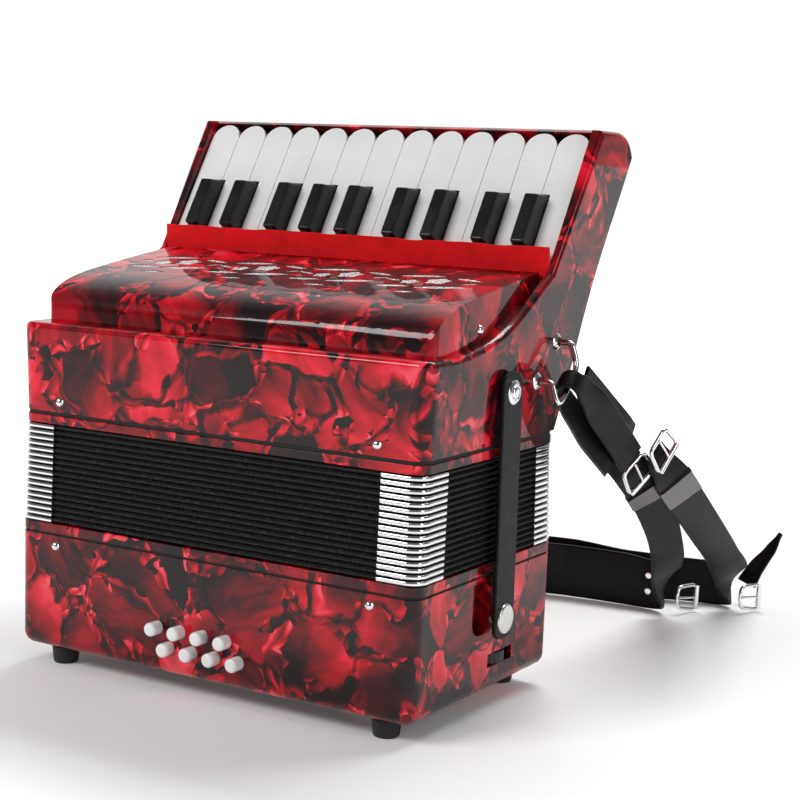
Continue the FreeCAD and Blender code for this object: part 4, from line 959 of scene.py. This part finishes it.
@dataclass
class ChromeFittings:
    """Bails, pins, screws, bosses and the bellows straps with their caps, in mm."""

    wire: float = 1.6
    elbow: float = 8.5
    drop: tuple[float, float, float] = (4.5, -1.0, -12.0)
    wire_corner: float = 6.0
    foot: float = 2.1
    end_x: float = 124.3
    end_z: float = 136.9
    flare: float = 0.042
    bosses: tuple = ((59.4, 183.7), (40.4, 164.9))
    strap_half: float = 9.75
    strap_nose: float = 5.5
    strap_thick: float = 2.2
    strap_overhang: float = 10.5
    stand_off: float = 2.3

    def build(self, bench: Bench) -> None:
        """Make the fittings on both ends.

        Args:
            bench: where pieces are placed.
        """
        for node in ("treble_hardware", "bass_hardware"):
            bench.recast(node, Finish.CHROME, 0.0)
        for side, name in ((1, "right"), (-1, "left")):
            ends = [Vector((side * (self.end_x + self.flare * (z - self.end_z)), y, z))
                    for y, z in self.bosses]
            out = Vector((side, 0, 0))
            drop = Vector((side * self.drop[0], self.drop[1], self.drop[2]))
            leg = [out * self.foot, out * self.elbow, out * self.elbow + drop]
            route = [ends[0] + p for p in leg] + [ends[1] + p for p in reversed(leg)]
            bail = tube(f"strap_bail_wire_{name}", [p * MM for p in route], self.wire * MM,
                        round_by=self.wire_corner * MM)
            bench.place(bail, Finish.CHROME, f"strap_bail_{name}", replace=True)
            self.bellows_strap(bench, side, name)

    def bellows_strap(self, bench: Bench, side: int, name: str) -> None:
        """Leather strap over the bellows with its cup washer, screw and snap cap.

        Args:
            bench: where pieces are placed.
            side: 1 for the right end, -1 for the left.
            name: which end, for the pieces' names.
        """
        node = f"bellows_strap_{name}"
        low, high = bench.box(node)
        inner = (low.x if side > 0 else -high.x) + self.stand_off
        bottom, top, middle = low.z, high.z, (low.y + high.y) / 2
        bm = bmesh.new()
        outline = []
        nose = self.strap_nose
        for sign in (1, -1):
            for step in range(13):
                turn = math.radians(180 * step / 12)
                outline.append((sign * self.strap_half * math.cos(turn),
                                (top - nose if sign > 0 else bottom + nose) + sign * nose * math.sin(turn)))
        rings = []
        for depth, inset in ((0.0, 0.7), (0.25, 0.2), (0.8, 0.0), (1.5, 0.0), (1.95, 0.25), (2.2, 0.8)):
            rings.append([Vector((side * (inner + depth), middle + y * (1 - inset / self.strap_half),
                                  z - math.copysign(inset, z - (top + bottom) / 2))) for y, z in outline])
        loft(rings, bm=bm, cap=True)
        leather = solid_object(f"bellows_strap_leather_{name}", bm, 60.0)
        bench.place(leather, Finish.LEATHER, node, replace=True)
        face = side * (inner + self.strap_thick)
        out = Vector((side, 0, 0))
        pivot = Vector((face, middle, top - self.strap_overhang))
        screw = bmesh.new()
        add_disc(screw, [(2.0, 0.0), (2.0, self.stand_off + 0.3)],
                 pivot - out * (self.strap_thick + self.stand_off), out)
        add_disc(screw, [(6.2, 0.0), (6.1, 0.5), (5.2, 1.2), (4.3, 1.3), (4.0, 0.7), (3.8, 0.7)], pivot, out)
        add_disc(screw, [(3.4, 0.6), (3.3, 1.2), (2.6, 1.9), (1.4, 2.2)], pivot, out)
        bench.place(solid_object(f"cup_screw_{name}", screw), Finish.CHROME, node)
        cap = bmesh.new()
        add_disc(cap, [(7.6, 0.0), (7.6, 0.5), (7.2, 1.1), (6.4, 1.35), (4.5, 1.3), (2.0, 1.25)],
                 Vector((face, middle, bottom + self.strap_overhang)), out)
        bench.place(solid_object(f"snap_cap_{name}", cap), Finish.NICKEL, node)


@dataclass
class ShoulderStraps:
    """Two leather straps looped on the right bail, lying on the floor behind the instrument."""

    thick: float = 2.2
    tab: float = 18.0
    narrow: float = 21.5
    pad: float = 33.0
    lined: int = 22
    buckle_wire: float = 1.15
    bar_wire: float = 1.7
    prong_wire: float = 0.75

    def routes(self) -> dict[str, tuple]:
        """Return each run's centre points, across directions and widths, in mm."""
        down = [(0, 0, 1)]
        return {
            "bail_tab": ([(150, 106, 119), (149, 90, 132), (147, 71, 148), (144.8, 55, 161.3),
                          (143.8, 50, 164.8), (141.8, 47.4, 166.8), (138.3, 46.1, 166.8),
                          (134.8, 47.2, 164.6), (133.8, 50, 162), (134.6, 58.5, 151.5), (139, 80, 133),
                          (144.6, 95, 118)],
                         [(5, 12, 9)] * 3 + [(0, 14, 12)] * 7 + [(4, 12, 6)] * 2,
                         [self.tab] * 3 + [15] + [11] * 5 + [15] + [self.tab] * 2),
            "under_tab": ([(139.5, 66, 164), (142.5, 86, 149.5), (146, 101.5, 137), (147, 110, 130)],
                          [(0, 12, 7)] * 4, [self.tab] * 4),
            "near_strap": ([(140, 105, 122), (145, 119, 110), (143, 159, 82), (134, 199, 53), (124, 226, 31),
                            (112, 246, 17), (84, 247, 17), (41, 241, 17.5), (-20, 222, 17.5),
                            (-78, 180, 17.5), (-120, 130, 22), (-140, 88, 60), (-144, 62, 110),
                            (-144, 52, 146)],
                           [(12, 16, 4), (10, 14, 6), (15, 14, 6), (18, 9, 6), (14, 8, 12), (2, 1, 20)]
                           + down * 4 + [(-3, 2, 10), (-8, 10, 6), (-6, 12, 3), (-3, 12, 2)],
                           [20, self.narrow, self.narrow, 20, 22, 30] + [self.pad] * 4 + [self.narrow] * 4),
            "far_strap": ([(156.5, 122, 121), (160, 143, 103), (155, 206, 65), (150, 247, 42), (147, 273, 24),
                           (140, 286, 15), (118, 281, 14.5), (80, 268, 15.5), (41, 260, 17.5),
                           (-20, 243, 17.5), (-84, 202, 17.5), (-138, 150, 24), (-160, 105, 66),
                           (-160, 74, 116), (-158, 62, 150)],
                          [(4, 13, 8), (9, 16, 4), (15, 13, 7), (16, 8, 8), (13, 8, 12), (2, 1, 20)]
                          + down * 5 + [(-3, 2, 10), (-8, 10, 6), (-6, 12, 3), (-3, 12, 2)],
                          [16, self.narrow, self.narrow, 21, 24, 28, 28, 30] + [self.pad] * 3
                          + [self.narrow] * 4),
            "strap_tail": ([(149, 296, 14), (153, 301, 24), (160, 304, 35), (166, 306, 47)], [(-6, 4, 8)] * 4,
                           [13, 11, 8, 3]),
        }

    def build(self, bench: Bench) -> None:
        """Lay the straps and hang their buckles.

        Args:
            bench: where pieces are placed.
        """
        node = "shoulder_straps"
        runs = {name: smooth_route(*route) for name, route in self.routes().items()}
        for name, stations in runs.items():
            bench.place(ribbon(name, stations, self.thick), Finish.LEATHER, node, replace=True)
        lining = [(c + Vector((0.3, -0.95, -0.9)), a, w - 0.8)
                  for c, a, w in runs["bail_tab"][-self.lined:]]
        bench.place(ribbon("tab_lining", lining, 0.7), Finish.SUEDE, node)
        frames = [("near_buckle", (147.5, 116.5, 111.5), (0, 19, -17), (6, 12, 9), 17, 21),
                  ("far_buckle", (158.5, 122.5, 124), (2, 20, -17), (3, 12, 9), 17, 21),
                  ("near_ring", (124, 254, 10), (4, 10, -1), (0, 1, 10), 16, 16),
                  ("far_ring", (155, 280, 10), (4, 10, -1), (0, 1, 10), 16, 16)]
        for name, centre, along, across, length, width in frames:
            bench.place(self.buckle(name, Vector(centre), Vector(along), Vector(across), length, width),
                        Finish.CHROME, node)
        for name, run, at in (("near_keeper", "near_strap", 0.115), ("far_keeper", "far_strap", 0.075)):
            first = int(at * len(runs[run]))
            short = [(c, a, w + 1.4) for c, a, w in runs[run][first:first + 3]]
            bench.place(ribbon(name, short, self.thick + 2.4), Finish.KEEPER, node)
        rivets = bmesh.new()
        for at, axis in (((142.6, 91.5, 121.0), (-0.9, -0.2, -0.3)), ((104, 245.4, 22), (0, -1, 0)),
                         ((104, 245.4, 12), (0, -1, 0))):
            add_disc(rivets, [(2.2, 0.0), (2.1, 0.5), (1.4, 0.9)], Vector(at), Vector(axis))
        bench.place(solid_object("strap_rivets", rivets), Finish.CHROME, node)

    def buckle(self, name: str, centre: Vector, along: Vector, across: Vector, length: float,
               width: float) -> bpy.types.Object:
        """Bent wire buckle with a flat bar and a prong.

        Args:
            name: the piece's name.
            centre: its middle on the strap's face, in mm.
            along: which way the strap runs.
            across: which way the strap is wide.
            length: its length along the strap.
            width: its width.

        Returns:
            The buckle.
        """
        out = along.cross(across).normalized()
        centre = centre + out * (self.thick / 2 + 1.6)
        up = along.normalized() * (length / 2)
        across = (across - up * (across.dot(up) / up.dot(up))).normalized()
        side = across * (width / 2)
        corners = [centre - up - side * 0.8, centre + up - side, centre + up + side, centre - up + side * 0.8]
        frame_wire = tube(name, [p * MM for p in corners], self.buckle_wire * MM, closed=True,
                          round_by=4.0 * MM)
        bar = tube(name + "_bar", [(centre + up - side * 0.92 + out * 0.5) * MM,
                                   (centre + up + side * 0.92 + out * 0.5) * MM], self.bar_wire * MM)
        prong = tube(name + "_prong", [(centre + up * 0.9 + out * 0.8) * MM, (centre + out * 1.2) * MM,
                                       (centre - up * 1.05 + out * 1.1) * MM], self.prong_wire * MM,
                     round_by=2.0 * MM)
        return join_pieces(name, [frame_wire, bar, prong])


@dataclass
class FeltStrip:
    """Felt strip that hides the roots of the keys, slightly wavy."""

    axle: tuple[float, float] = (53.2, 205.4)
    lean: float = 31.58
    half: float = 123.9
    steps: int = 150

    def build(self, bench: Bench) -> None:
        """Lay the strip.

        Args:
            bench: where pieces are placed.
        """
        lean = math.radians(self.lean)
        along = Vector((0, math.sin(lean), math.cos(lean)))
        out = Vector((0, -math.cos(lean), math.sin(lean)))
        origin = Vector((0, *self.axle))
        profile = [(5.2, 7.6, 0.0), (12.0, 7.7, 0.1), (17.0, 11.0, 0.5), (21.4, 14.6, 1.0), (22.0, 15.4, 1.0),
                   (21.5, 16.2, 1.0), (16.6, 12.9, 0.5), (11.6, 9.4, 0.1), (10.4, 8.2, 0.0), (5.2, 8.1, 0.0)]
        rings = []
        for step in range(self.steps + 1):
            x = self.half * (2 * step / self.steps - 1)
            wave = 0.35 * math.sin(x / 9.0) + 0.28 * math.sin(x / 4.1 + 1.0) + 0.2 * math.sin(x / 23.0 + 2.0)
            rings.append([origin + along * (v - 0.5 * loose * abs(wave)) + out * (n + loose * wave)
                          + Vector((x, 0, 0)) for v, n, loose in profile])
        band = solid_object("felt_band", loft(rings, cap=True), 60.0)
        bench.place(band, Finish.FELT, "felt_strip", replace=True)


@dataclass
class HandStrap:
    """Hand strap under the bass end."""

    def build(self, bench: Bench) -> None:
        """Recast it with soft edges.

        Args:
            bench: where pieces are placed.
        """
        bench.recast("hand_strap", Finish.LEATHER, 0.6)


# ---------------------------------------------------------------- studio
@dataclass
class Studio:
    """Floor, lights and camera."""

    azimuth: float = 31.48
    elevation: float = 8.01
    roll: float = 1.84
    distance: float = 944.7
    lens: float = 80.6
    target: tuple[float, float, float] = (48.4, 33.9, 148.1)

    def camera(self) -> None:
        """Stand the camera where the instrument fills the frame."""
        a, e = math.radians(self.azimuth), math.radians(self.elevation)
        back = Vector((math.sin(a) * math.cos(e), -math.cos(a) * math.cos(e), math.sin(e)))
        data = bpy.data.cameras.new("camera")
        data.lens = self.lens
        data.sensor_width = 36.0
        data.clip_end = 50.0
        view = bpy.data.objects.new("camera", data)
        bpy.context.scene.collection.objects.link(view)
        turn = back.to_track_quat("Z", "Y").to_matrix() @ Matrix.Rotation(math.radians(self.roll), 3, "Z")
        stand = (Vector(self.target) + back * self.distance) * MM
        view.matrix_world = Matrix.Translation(stand) @ turn.to_4x4()
        bpy.context.scene.camera = view

    def lamp(self, name: str, at: tuple, to: tuple, size: tuple, power: float) -> None:
        """Hang one soft box.

        Args:
            name: the lamp's name.
            at: its place in metres.
            to: the point it faces.
            size: its width and height.
            power: its power in watts.
        """
        data = bpy.data.lights.new(name, "AREA")
        data.shape = "RECTANGLE"
        data.size, data.size_y = size
        data.energy = power
        light = bpy.data.objects.new(name, data)
        bpy.context.scene.collection.objects.link(light)
        aim = (Vector(at) - Vector(to)).to_track_quat("Z", "Y").to_matrix().to_4x4()
        light.matrix_world = Matrix.Translation(at) @ aim

    def build(self, bench: Bench) -> None:
        """Lay the floor and set the lights.

        Args:
            bench: where materials come from.
        """
        bm = bmesh.new()
        bmesh.ops.create_grid(bm, x_segments=1, y_segments=1, size=6.0)
        floor = solid_object("floor", bm)
        floor.data.materials.append(bench.shop.get(Finish.FLOOR))
        world = bpy.data.worlds.new("studio")
        world.use_nodes = True
        graph = Graph(world.node_tree)
        around = graph.add("TexCoord").outputs["Generated"]
        facing = graph.add("VectorMath", {0: around, 1: backdrop_way()}, operation="DOT_PRODUCT")
        shade = graph.ramp(facing.outputs["Value"], [(0.0, (0.10, 0.10, 0.105)), (0.55, (0.30, 0.30, 0.31)),
                                                     (0.86, (1.0, 1.0, 1.0))])
        graph.feed(world.node_tree.nodes["Background"].inputs["Color"], shade)
        world.node_tree.nodes["Background"].inputs["Strength"].default_value = 1.0
        bpy.context.scene.world = world
        bpy.context.scene.view_settings.view_transform = "Standard"
        middle = (0.0, 0.05, 0.15)
        self.lamp("key_box", (-0.75, -1.5, 1.35), middle, (1.0, 0.7), 24.0)
        self.lamp("side_box", (1.7, -0.35, 0.75), middle, (0.3, 1.3), 7.0)
        self.lamp("top_box", (0.1, 0.9, 1.6), middle, (1.4, 0.5), 24.0)
        self.camera()


def main() -> None:
    """Build the instrument's looks in order."""
    logging.basicConfig(level=logging.INFO, format="%(message)s")
    bench = Bench(FinishShop())
    for part in (Casings(), Keyboard(), BassControls(), Bellows(), ChromeFittings(), ShoulderStraps(),
                 FeltStrip(), HandStrap()):
        part.build(bench)
    Studio().build(bench)


if __name__ == "__main__":
    main()
